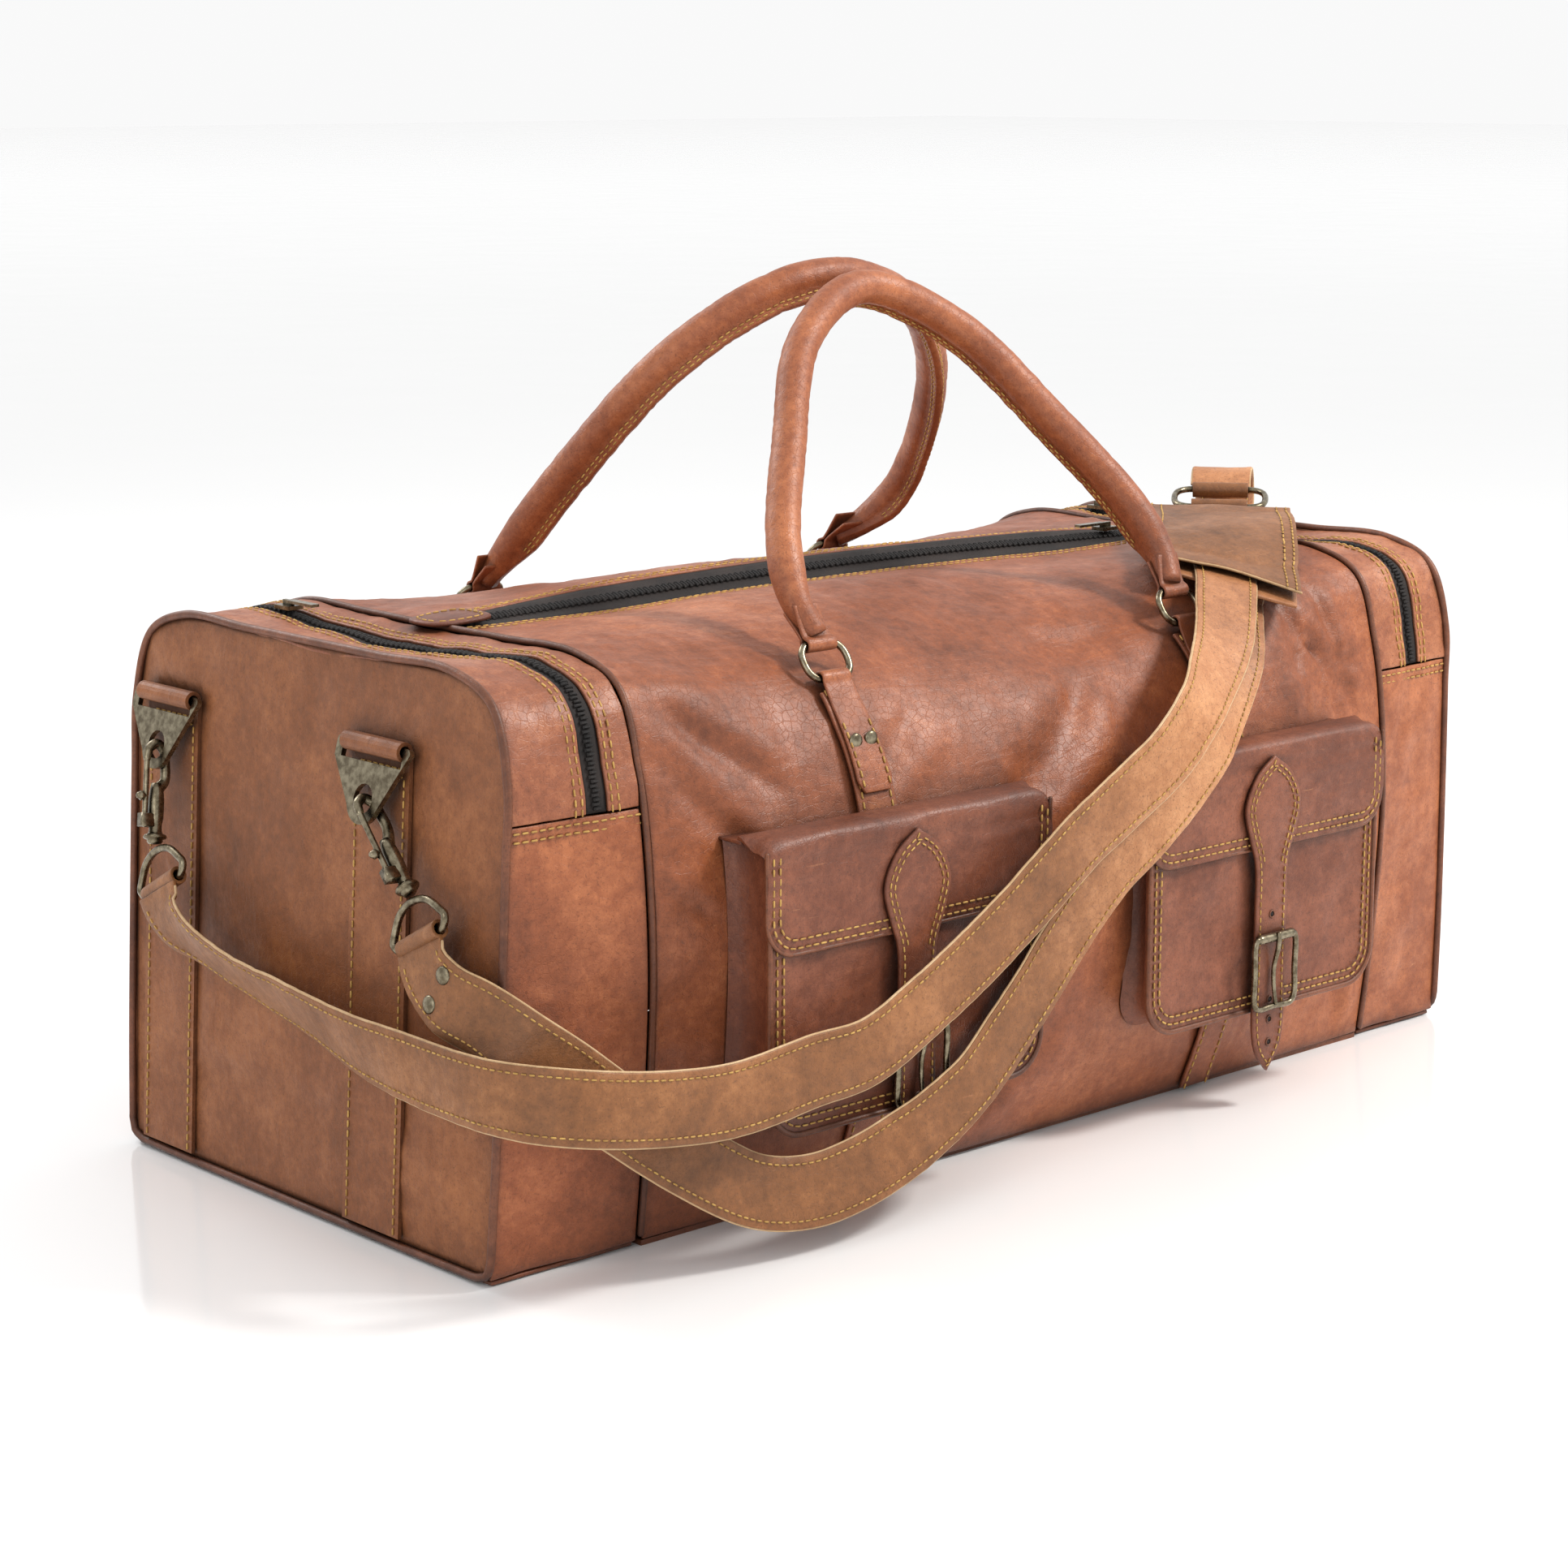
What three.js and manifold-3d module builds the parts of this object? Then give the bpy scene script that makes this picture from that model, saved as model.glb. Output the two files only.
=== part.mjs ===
// Leather duffel bag with two end pockets, two flap pockets, rolled handles and a clip-on shoulder strap.
// Millimetres, +Z up, +X along the bag, +Y to its back. The origin is on the floor under the middle.
import * as THREE from "three";
import { mergeVertices } from "three/addons/utils/BufferGeometryUtils.js";
import Module from "manifold-3d";

const wasm = await Module();
wasm.setup();

// ---- Driving dimensions -------------------------------------------------------------------------
const LENGTH = 774; // over both end panels, at the floor
const HEIGHT = 310; // floor to the top of an end pocket
const LEFT_LEAN = 18; // how far the left end panel leans in at the top
const RIGHT_LEAN = 7;
const SEAM_LEFT = -289; // where the left end pocket joins the main compartment
const SEAM_RIGHT = 308;
const LEATHER = 2.4;
const GAP = 0.4; // clearance between neighbouring pieces
const PIPING_RADIUS = 2.2;
const SEAM_PIPING_RADIUS = 1.9;

// Half sections of the bag, as [half depth, height], from the front bottom edge to the top centre.
const END_SECTION = [
  [168, 0], [170, 60], [171, 150], [171, 220], [170.5, 258], [157, 296], [123, 310], [62, 310], [0, 310],
];
const SEAM_SECTION = [
  [169, 0], [176, 60], [182, 150], [178, 220], [171, 258], [157, 296], [123, 310], [62, 310.5], [0, 310],
];
const MIDDLE_SECTION = [
  [172, 0], [196, 60], [207, 150], [200, 215], [178, 258], [150, 281], [95, 303], [48, 314], [0, 318],
];
const HALF_STEPS = 12;
const MAIN_STEPS = 10;

const MAIN_ZIP_HALF = 12;
const MAIN_ZIP_LEFT = -272;
const MAIN_ZIP_RIGHT = 296;
const END_ZIP_HALF = 6.7;
const END_ZIP_LEFT = -318;
const END_ZIP_RIGHT = 345;
const END_ZIP_BOTTOM = 237; // top edge of the lower gusset

const HANDLE_SPACING = 286; // between a handle's two legs
const HANDLE_RADIUS = 11;
const PIVOT_DEPTH = 160; // the handle rings turn about a line this far from the middle
const PIVOT_HEIGHT = 285;
const FRONT_HANDLE_LEAN = 33; // degrees from upright, towards the middle
const BACK_HANDLE_LEAN = 38.5;
const RING_WIRE = 2;
const RING_WIDTH = 30; // between the centres of the ring's side wires
const RING_HEIGHT = 20;
const BODY_STRAP_WIDTH = 26;

const POCKET_CENTRE = 143;
const POCKET_WIDTH = 206;
const POCKET_BOTTOM = 58;
const POCKET_TOP = 217;
const POCKET_FACE = 222; // depth of the outer face from the middle of the bag
const FLAP_DROP = 63;
const FLAP_HINGE_DEPTH = 201.5;
const FLAP_HINGE_HEIGHT = 220.5;
const TONGUE_WIDTH = 27;
const TONGUE_HEAD = 50;
const TONGUE_TIP = 22;
const BUCKLE_HEIGHT = 84; // of the pocket buckle's centre above the floor

const END_STRAP_WIDTH = 50;
const END_STRAP_FRONT = -68; // centre line of each end strap
const END_STRAP_BACK = 128;
const TRIANGLE_BAR_HEIGHT = 265;
const TRIANGLE_WIDTH = 63;
const LEFT_TILT = 16; // degrees a triangular ring stands off the end panel; a hook pulls the left ones out
const RIGHT_TILT = 1;
const TRIANGLE_THICKNESS = 3;
const EYE_DROP = 28; // from a triangular ring's bar down to the centre of its eye

const STRAP_WIDTH = 38;
const STRAP_THICKNESS = 3;
const PAD_WIDTH = 92;

// ---- Colours ------------------------------------------------------------------------------------
const LEATHER_COLOUR = 0xa5603a;
const DARK_LEATHER = 0x7d4530;
const STRAP_LEATHER = 0xb07a48;
const PIPING_COLOUR = 0x6a3a26;
const ZIP_COLOUR = 0x1c1715;
const BRASS = 0x6f6247;
const BOARD_COLOUR = 0x8a7a62;

// ---- Solids and meshes --------------------------------------------------------------------------
const bag = new THREE.Group();

function solidOf(geometry, matrix = new THREE.Matrix4()) {
  const bare = new THREE.BufferGeometry();
  const source = geometry.index ? geometry.toNonIndexed() : geometry.clone();
  bare.setAttribute("position", source.getAttribute("position"));
  bare.applyMatrix4(matrix);
  const merged = mergeVertices(bare, 1e-4);
  const index = merged.index.array;
  const kept = [];
  for (let i = 0; i < index.length; i += 3) {
    const [a, b, c] = [index[i], index[i + 1], index[i + 2]];
    if (a !== b && b !== c && c !== a) kept.push(a, b, c);
  }
  return new wasm.Manifold(
    new wasm.Mesh({
      numProp: 3,
      vertProperties: merged.attributes.position.array,
      triVerts: new Uint32Array(kept),
    }),
  );
}

function geometryOf(solid) {
  const made = solid.getMesh();
  const geometry = new THREE.BufferGeometry();
  geometry.setAttribute("position", new THREE.BufferAttribute(made.vertProperties, 3));
  geometry.setIndex(new THREE.BufferAttribute(made.triVerts, 1));
  geometry.computeVertexNormals();
  return geometry;
}

function addPiece(name, solid, color, { metalness = 0, roughness = 0.6, parent = bag } = {}) {
  const material = new THREE.MeshStandardMaterial({ color, metalness, roughness });
  const mesh = new THREE.Mesh(geometryOf(solid), material);
  mesh.name = name;
  parent.add(mesh);
  return mesh;
}

function addMetal(name, solid, parent = bag) {
  return addPiece(name, solid, BRASS, { metalness: 1, roughness: 0.35, parent });
}

function box(x0, x1, y0, y1, z0, z1) {
  const move = new THREE.Matrix4().makeTranslation((x0 + x1) / 2, (y0 + y1) / 2, (z0 + z1) / 2);
  return solidOf(new THREE.BoxGeometry(x1 - x0, y1 - y0, z1 - z0), move);
}

// A cylinder of the given radius from one point to another.
function rod(from, to, radius, sides = 16) {
  const axis = new THREE.Vector3().subVectors(to, from);
  const turn = new THREE.Quaternion().setFromUnitVectors(new THREE.Vector3(0, 1, 0), axis.clone().normalize());
  const middle = new THREE.Vector3().addVectors(from, to).multiplyScalar(0.5);
  const matrix = new THREE.Matrix4().compose(middle, turn, new THREE.Vector3(1, 1, 1));
  return solidOf(new THREE.CylinderGeometry(radius, radius, axis.length(), sides), matrix);
}

function rodX(x0, x1, y, z, radius, sides = 16) {
  return rod(new THREE.Vector3(x0, y, z), new THREE.Vector3(x1, y, z), radius, sides);
}

// A closed skin over rings of points, with flat ends unless the rings themselves close on each other.
function loft(rings, closed = false) {
  const count = rings[0].length;
  const points = rings.flat();
  const index = [];
  const spans = closed ? rings.length : rings.length - 1;
  for (let i = 0; i < spans; i++) {
    const a = i * count;
    const b = ((i + 1) % rings.length) * count;
    for (let j = 0; j < count; j++) {
      const k = (j + 1) % count;
      index.push(a + j, b + j, b + k, a + j, b + k, a + k);
    }
  }
  if (!closed) {
    for (const [ring, start, flip] of [[rings[0], 0, false], [rings.at(-1), (rings.length - 1) * count, true]]) {
      const centre = new THREE.Vector3();
      ring.forEach((p) => centre.add(p));
      points.push(centre.divideScalar(count));
      for (let j = 0; j < count; j++) {
        const k = (j + 1) % count;
        const [first, second] = flip ? [k, j] : [j, k];
        index.push(points.length - 1, start + first, start + second);
      }
    }
  }
  if (signedVolume(points, index) < 0) index.reverse();
  const geometry = new THREE.BufferGeometry().setFromPoints(points);
  geometry.setIndex(index);
  return solidOf(geometry);
}

function signedVolume(points, index) {
  let sum = 0;
  for (let i = 0; i < index.length; i += 3) {
    const [a, b, c] = [points[index[i]], points[index[i + 1]], points[index[i + 2]]];
    sum += a.dot(new THREE.Vector3().crossVectors(b, c));
  }
  return sum;
}

// A round tube along a curve; radiusAt gives its radius from 0 at the start to 1 at the end.
function tube(curve, radiusAt, steps, sides, closed = false) {
  const frames = curve.computeFrenetFrames(steps, closed);
  const rings = [];
  for (let i = 0; i < (closed ? steps : steps + 1); i++) {
    const centre = curve.getPointAt(i / steps);
    const radius = radiusAt(i / steps);
    rings.push(
      Array.from({ length: sides }, (_, j) => {
        const angle = (2 * Math.PI * j) / sides;
        return centre
          .clone()
          .addScaledVector(frames.normals[i], radius * Math.cos(angle))
          .addScaledVector(frames.binormals[i], radius * Math.sin(angle));
      }),
    );
  }
  return loft(rings, closed);
}

function smooth(points, closed = false) {
  return new THREE.CatmullRomCurve3(points.map((p) => new THREE.Vector3(...p)), closed);
}

// ---- The bag's outer form -----------------------------------------------------------------------
const curveOf = (section) => smooth(section.map(([depth, height]) => [0, depth, height]));
const END_CURVE = curveOf(END_SECTION);
const SEAM_CURVE = curveOf(SEAM_SECTION);
const MIDDLE_CURVE = curveOf(MIDDLE_SECTION);

// The whole section between two curves, from the front bottom over the top to the back bottom.
function sectionPoints(curveA, curveB, mix, offset) {
  const front = [];
  for (let i = 0; i <= HALF_STEPS; i++) {
    const p = curveA.getPoint(i / HALF_STEPS).lerp(curveB.getPoint(i / HALF_STEPS), mix);
    front.push(new THREE.Vector2(-p.y, p.z));
  }
  const back = front.slice(0, -1).reverse().map((p) => new THREE.Vector2(-p.x, p.y));
  const all = [...front, ...back];
  return all.map((p, i) => {
    if (i === 0 || i === all.length - 1) return new THREE.Vector2(p.x + Math.sign(p.x) * offset, p.y);
    const along = all[i + 1].clone().sub(all[i - 1]).normalize();
    return new THREE.Vector2(p.x - along.y * offset, p.y + along.x * offset);
  });
}

// How full the main compartment is at x: 0 at its seams, 1 in the middle.
function fullness(x) {
  const share = (x - SEAM_LEFT) / (SEAM_RIGHT - SEAM_LEFT);
  return 1 - (2 * share - 1) ** 2;
}

function mainForm(offset, from = SEAM_LEFT, to = SEAM_RIGHT) {
  const rings = [];
  for (let i = 0; i <= MAIN_STEPS; i++) {
    const x = from + ((to - from) * i) / MAIN_STEPS;
    const section = sectionPoints(SEAM_CURVE, MIDDLE_CURVE, Math.max(0, fullness(x)), offset);
    rings.push(section.map((p) => new THREE.Vector3(x, p.x, p.y)));
  }
  return loft(rings);
}

const ends = {
  left: { side: -1, seam: SEAM_LEFT, lean: LEFT_LEAN, zip: END_ZIP_LEFT, tilt: LEFT_TILT },
  right: { side: 1, seam: SEAM_RIGHT, lean: RIGHT_LEAN, zip: END_ZIP_RIGHT, tilt: RIGHT_TILT },
};

// x of an end panel's outer face at height z.
function endX({ side, lean }, z) {
  return side * (LENGTH / 2 - (lean * z) / HEIGHT);
}

// An end pocket's form between two distances: inset from the seam, and inset from the end panel.
function endForm(end, offset, fromSeam, fromEnd, steps = 2) {
  const rings = [];
  for (let i = 0; i <= steps; i++) {
    const share = i / steps;
    const section = sectionPoints(SEAM_CURVE, END_CURVE, share, offset);
    rings.push(
      section.map((p) => {
        const start = end.seam + end.side * fromSeam;
        const stop = endX(end, p.y) - end.side * fromEnd;
        return new THREE.Vector3(start + (stop - start) * share, p.x, p.y);
      }),
    );
  }
  return loft(rings);
}

// A slab parallel to an end panel, from one distance outside its face to another.
function endSlab(end, inner, outer, offset) {
  const section = sectionPoints(END_CURVE, END_CURVE, 0, offset);
  return loft(
    [inner, outer].map((distance) =>
      section.map((p) => new THREE.Vector3(endX(end, p.y) + end.side * distance, p.x, p.y)),
    ),
  );
}

const FAR = 600; // reaches past everything
const FLOOR_EDGE = LEATHER + 0.6 + GAP; // panels start just above the base

// ---- Main compartment ---------------------------------------------------------------------------
const seamInset = SEAM_PIPING_RADIUS + GAP;
const mainOuter = mainForm(0, SEAM_LEFT + seamInset, SEAM_RIGHT - seamInset);
const mainInner = mainForm(-LEATHER, SEAM_LEFT - 1, SEAM_RIGHT + 1);
const mainShell = mainOuter.subtract(mainInner);
const zipSlot = box(MAIN_ZIP_LEFT - GAP, MAIN_ZIP_RIGHT + GAP, -MAIN_ZIP_HALF, MAIN_ZIP_HALF, 200, 400);

addPiece(
  "front_panel",
  mainShell.intersect(box(-FAR, FAR, -FAR, -0.2, FLOOR_EDGE, 400)).subtract(zipSlot),
  LEATHER_COLOUR,
);
addPiece(
  "back_panel",
  mainShell.intersect(box(-FAR, FAR, 0.2, FAR, FLOOR_EDGE, 400)).subtract(zipSlot),
  LEATHER_COLOUR,
);
addPiece("base_panel", box(SEAM_LEFT + 2, SEAM_RIGHT - 2, -168, 168, 0, 3), LEATHER_COLOUR);
addPiece("base_board", box(SEAM_LEFT + 8, SEAM_RIGHT - 8, -160, 160, FLOOR_EDGE, 8), BOARD_COLOUR);

// The zip is a crowned strip: tape with a raised row of teeth along its middle.
const zipTape = mainForm(-0.8, SEAM_LEFT, SEAM_RIGHT)
  .subtract(mainForm(-2, SEAM_LEFT - 1, SEAM_RIGHT + 1))
  .intersect(box(MAIN_ZIP_LEFT, MAIN_ZIP_RIGHT, -MAIN_ZIP_HALF + GAP, MAIN_ZIP_HALF - GAP, 200, 400));
const zipTeeth = mainForm(0.6, SEAM_LEFT, SEAM_RIGHT)
  .subtract(mainForm(-1.5, SEAM_LEFT - 1, SEAM_RIGHT + 1))
  .intersect(box(MAIN_ZIP_LEFT + 2, MAIN_ZIP_RIGHT - 2, -3, 3, 200, 400));
addPiece("main_zip", zipTape.add(zipTeeth), ZIP_COLOUR);

// ---- End pockets --------------------------------------------------------------------------------
function addEndPocket(name, end) {
  const shell = endForm(end, 0, seamInset, PIPING_RADIUS + GAP).subtract(
    endForm(end, -LEATHER, -1, -1),
  );
  const [x0, x1] = [end.seam + end.side * seamInset, end.side * (LENGTH / 2 - PIPING_RADIUS - GAP)];
  const bottom = box(Math.min(x0, x1), Math.max(x0, x1), -167, 167, 0, 3);
  const low = shell.intersect(box(-FAR, FAR, -FAR, FAR, 1.5, END_ZIP_BOTTOM));
  addPiece(`${name}_gusset_lower`, low.add(bottom), LEATHER_COLOUR);

  const high = shell.intersect(box(-FAR, FAR, -FAR, FAR, END_ZIP_BOTTOM + GAP, 400));
  const beyond = (x, sign) => (sign > 0 ? box(x, FAR, -FAR, FAR, 0, 400) : box(-FAR, x, -FAR, FAR, 0, 400));
  const outer = high.intersect(beyond(end.zip + end.side * END_ZIP_HALF, end.side));
  const inner = high.intersect(beyond(end.zip - end.side * END_ZIP_HALF, -end.side));
  addPiece(`${name}_gusset_outer`, outer, LEATHER_COLOUR);
  addPiece(`${name}_gusset_inner`, inner, LEATHER_COLOUR);

  const half = END_ZIP_HALF - GAP;
  const zip = endForm(end, -0.2, seamInset, 2)
    .subtract(endForm(end, -1.8, -1, -1))
    .intersect(box(end.zip - half, end.zip + half, -FAR, FAR, END_ZIP_BOTTOM + GAP, 400));
  addPiece(`${name}_end_zip`, zip, ZIP_COLOUR);

  const panel = endSlab(end, -LEATHER, 0, -PIPING_RADIUS - 2.4);
  const aboveRim = box(-FAR, FAR, -FAR, FAR, 4 * PIPING_RADIUS, 400);
  addPiece(`${name}_end_panel`, panel.intersect(aboveRim), LEATHER_COLOUR);

  const wall = sectionPoints(SEAM_CURVE, SEAM_CURVE, 0, -LEATHER - 2.2);
  const divider = loft([-0.8, 0.8].map((d) => wall.map((p) => new THREE.Vector3(end.seam + d, p.x, p.y))));
  addPiece(
    `${name}_divider`,
    divider.intersect(box(-FAR, FAR, -FAR, FAR, FLOOR_EDGE, 400)),
    DARK_LEATHER,
  );
}

function addPiping(name, end) {
  const rim = sectionPoints(END_CURVE, END_CURVE, 0, 0)
    .slice(1, -1)
    .filter((p) => p.y > 12);
  const low = PIPING_RADIUS + 1;
  const corner = (sign) => [[sign * 169, low + 12], [sign * 166, low + 3], [sign * 157, low]];
  const around = [
    [0, low],
    [-110, low],
    ...corner(-1).reverse(),
    ...rim.map((p) => [p.x, p.y]),
    ...corner(1),
    [110, low],
  ];
  const path = smooth(around.map(([y, z]) => [endX(end, z), y, z]), true);
  addPiece(`${name}_end_piping`, tube(path, () => PIPING_RADIUS, 44, 6, true), PIPING_COLOUR);

  const seam = sectionPoints(SEAM_CURVE, SEAM_CURVE, 0, 0);
  seam[0].y = FLOOR_EDGE + SEAM_PIPING_RADIUS;
  seam.at(-1).y = seam[0].y;
  const seamPath = smooth(seam.map((p) => [end.seam, p.x, p.y]));
  addPiece(`${name}_seam_piping`, tube(seamPath, () => SEAM_PIPING_RADIUS, 30, 5), PIPING_COLOUR);
}

for (const [name, end] of Object.entries(ends)) {
  addEndPocket(name, end);
  addPiping(name, end);
}

// ---- Straps sewn on the end panels, each holding a triangular ring --------------------------------
const barOut = 6; // from the end panel's face to the middle of a ring's bar

function addEndStrap(name, end, y) {
  const strip = endSlab(end, GAP, GAP + LEATHER, 0).intersect(
    box(-FAR, FAR, y - END_STRAP_WIDTH / 2, y + END_STRAP_WIDTH / 2, 8, TRIANGLE_BAR_HEIGHT),
  );
  const x = endX(end, TRIANGLE_BAR_HEIGHT) + end.side * barOut;
  const from = new THREE.Vector3(x, y - END_STRAP_WIDTH / 2, TRIANGLE_BAR_HEIGHT);
  const to = new THREE.Vector3(x, y + END_STRAP_WIDTH / 2, TRIANGLE_BAR_HEIGHT);
  const stretch = new THREE.Vector3(0, 1, 0);
  const hollow = rod(from.clone().sub(stretch), to.clone().add(stretch), 3.3);
  addPiece(`${name}_strap`, strip.add(rod(from, to, 5.3)).subtract(hollow), LEATHER_COLOUR);
  addTriangle(`${name}_triangle`, end, x, y);
}

// A flat triangular ring: a bar through the strap's loop, and an eye at the bottom.
function addTriangle(name, end, x, y) {
  const half = TRIANGLE_WIDTH / 2;
  const outline = new THREE.Shape();
  outline.moveTo(-half, -9);
  outline.absarc(-half + 3, -1, 3, Math.PI, Math.PI / 2, true);
  outline.absarc(half - 3, -1, 3, Math.PI / 2, 0, true);
  outline.lineTo(half, -9);
  outline.absarc(0, -EYE_DROP, 13.5, -0.35, -Math.PI + 0.35, true);
  const slot = new THREE.Path();
  const slotHalf = END_STRAP_WIDTH / 2 + 1;
  slot.moveTo(-slotHalf, -1.6);
  slot.lineTo(-slotHalf, -9);
  slot.lineTo(slotHalf, -9);
  slot.lineTo(slotHalf, -1.6);
  slot.closePath();
  const eye = new THREE.Path().absarc(0, -EYE_DROP, 8, 0, 2 * Math.PI, false);
  outline.holes.push(slot, eye);
  const plate = new THREE.ExtrudeGeometry(outline, {
    depth: TRIANGLE_THICKNESS,
    bevelEnabled: false,
    curveSegments: 8,
  });
  plate.translate(0, 0, -TRIANGLE_THICKNESS / 2);
  const hung = new THREE.Group();
  hung.position.set(x, y, TRIANGLE_BAR_HEIGHT);
  hung.rotation.y = -end.side * THREE.MathUtils.degToRad(end.tilt);
  bag.add(hung);
  const upright = new THREE.Matrix4().makeBasis(
    new THREE.Vector3(0, 1, 0),
    new THREE.Vector3(0, 0, 1),
    new THREE.Vector3(1, 0, 0),
  );
  addMetal(name, solidOf(plate, upright), hung);
}

addEndStrap("left_front", ends.left, END_STRAP_FRONT);
addEndStrap("left_back", ends.left, END_STRAP_BACK);
addEndStrap("right_front", ends.right, END_STRAP_FRONT);
addEndStrap("right_back", ends.right, END_STRAP_BACK);

// ---- Straps sewn on the body, from the base up to the handle rings ---------------------------------
const strapSkin = mainForm(GAP + LEATHER).subtract(mainForm(GAP));
const LOOP_INNER = RING_WIRE + 0.9;
const LOOP_OUTER = LOOP_INNER + 2;

function addBodyStrap(name, x, face) {
  const half = BODY_STRAP_WIDTH / 2;
  const [y0, y1] = face < 0 ? [-FAR, -PIVOT_DEPTH + 6] : [PIVOT_DEPTH - 6, FAR];
  const strip = strapSkin.intersect(box(x - half, x + half, y0, y1, FLOOR_EDGE, PIVOT_HEIGHT - 9));
  const y = face * PIVOT_DEPTH;
  const loopHalf = half - 3.5;
  const loop = rodX(x - loopHalf, x + loopHalf, y, PIVOT_HEIGHT, LOOP_OUTER, 14);
  const web = box(
    x - loopHalf, x + loopHalf,
    Math.min(y, y + face * LOOP_OUTER), Math.max(y, y + face * LOOP_OUTER),
    PIVOT_HEIGHT - 16, PIVOT_HEIGHT,
  );
  const hollow = rodX(x - half, x + half, y, PIVOT_HEIGHT, LOOP_INNER, 14);
  addPiece(name, loop.add(web).subtract(mainForm(GAP)).add(strip).subtract(hollow), LEATHER_COLOUR);
}

const legX = HANDLE_SPACING / 2;
addBodyStrap("front_strap_left", -legX, -1);
addBodyStrap("front_strap_right", legX, -1);
addBodyStrap("back_strap_left", -legX, 1);
addBodyStrap("back_strap_right", legX, 1);

// ---- Handles ------------------------------------------------------------------------------------
// Each handle is drawn flat, x along the bag and y up from the pivot line, then leaned inwards.
const FRONT_HANDLE_ROUTE = [
  [-143, 25], [-147, 46], [-139, 80], [-107, 137], [-62, 203], [0, 234],
  [62, 203], [107, 137], [139, 80], [147, 46], [143, 25],
];
const BACK_HANDLE_ROUTE = [
  [-143, 25], [-139, 50], [-125, 112], [-92, 198], [-42, 246], [8, 258],
  [80, 234], [131, 186], [163, 124], [174, 66], [160, 38], [143, 25],
];

function addHandle(name, face, lean, route) {
  const group = new THREE.Group();
  group.position.set(0, face * PIVOT_DEPTH, PIVOT_HEIGHT);
  group.rotation.x = Math.PI / 2 + face * THREE.MathUtils.degToRad(lean);
  bag.add(group);

  for (const [side, x] of [["left", -legX], ["right", legX]]) {
    const w = RING_WIDTH / 2;
    const corner = 5;
    const outline = [
      [x - w + corner, 0, 0], [x, 0, 0], [x + w - corner, 0, 0], [x + w, corner, 0],
      [x + w, RING_HEIGHT - corner, 0], [x + w - corner, RING_HEIGHT, 0], [x, RING_HEIGHT, 0],
      [x - w + corner, RING_HEIGHT, 0], [x - w, RING_HEIGHT - corner, 0], [x - w, corner, 0],
    ];
    addMetal(`${name}_ring_${side}`, tube(smooth(outline, true), () => RING_WIRE, 20, 6, true), group);
  }

  const path = smooth(route.map(([x, up]) => [x, up, 0]));
  const radiusAt = (t) => 7 + (HANDLE_RADIUS - 7) * Math.min(1, Math.min(t, 1 - t) / 0.06);
  let handle = tube(path, radiusAt, 34, 9);
  for (const x of [-legX, legX]) {
    handle = handle.add(rodX(x - 9, x + 9, RING_HEIGHT, 0, 6.5, 12));
  }
  for (const x of [-legX, legX]) {
    handle = handle.subtract(rodX(x - 14, x + 14, RING_HEIGHT, 0, RING_WIRE + 0.7, 12));
  }
  addPiece(name, handle, LEATHER_COLOUR, { parent: group });
}

addHandle("handle_front", -1, FRONT_HANDLE_LEAN, FRONT_HANDLE_ROUTE);
addHandle("handle_back", 1, BACK_HANDLE_LEAN, BACK_HANDLE_ROUTE);

// ---- Flap pockets on the front --------------------------------------------------------------------
// An upright plate in the plane of the front, from an outline in x and z.
function uprightPlate(shape, depth, thickness, segments = 6) {
  const plate = new THREE.ExtrudeGeometry(shape, {
    depth: thickness,
    bevelEnabled: false,
    curveSegments: segments,
  });
  const stand = new THREE.Matrix4().makeBasis(
    new THREE.Vector3(1, 0, 0),
    new THREE.Vector3(0, 0, 1),
    new THREE.Vector3(0, -1, 0),
  );
  stand.setPosition(0, -depth + thickness, 0);
  return solidOf(plate, stand);
}

// A plate outline with square top corners and round bottom corners.
function pocketOutline(x, width, top, bottom, radius) {
  const half = width / 2;
  const shape = new THREE.Shape();
  shape.moveTo(x - half, top);
  shape.lineTo(x - half, bottom + radius);
  shape.absarc(x - half + radius, bottom + radius, radius, Math.PI, 1.5 * Math.PI, false);
  shape.absarc(x + half - radius, bottom + radius, radius, 1.5 * Math.PI, 2 * Math.PI, false);
  shape.lineTo(x + half, top);
  shape.closePath();
  return shape;
}

// The strap on a flap: a leaf-shaped head, a straight tail and a pointed tip.
function tongueOutline(x) {
  const half = TONGUE_WIDTH / 2;
  const head = TONGUE_HEAD / 2;
  const shape = new THREE.Shape();
  shape.moveTo(x, TONGUE_TIP);
  shape.quadraticCurveTo(x + half * 0.7, TONGUE_TIP + 10, x + half, TONGUE_TIP + 24);
  shape.lineTo(x + half, 148);
  shape.bezierCurveTo(x + head * 1.05, 168, x + head * 1.25, 196, x, 213);
  shape.bezierCurveTo(x - head * 1.25, 196, x - head * 1.05, 168, x - half, 148);
  shape.lineTo(x - half, TONGUE_TIP + 24);
  shape.quadraticCurveTo(x - half * 0.7, TONGUE_TIP + 10, x, TONGUE_TIP);
  return shape;
}

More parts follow.
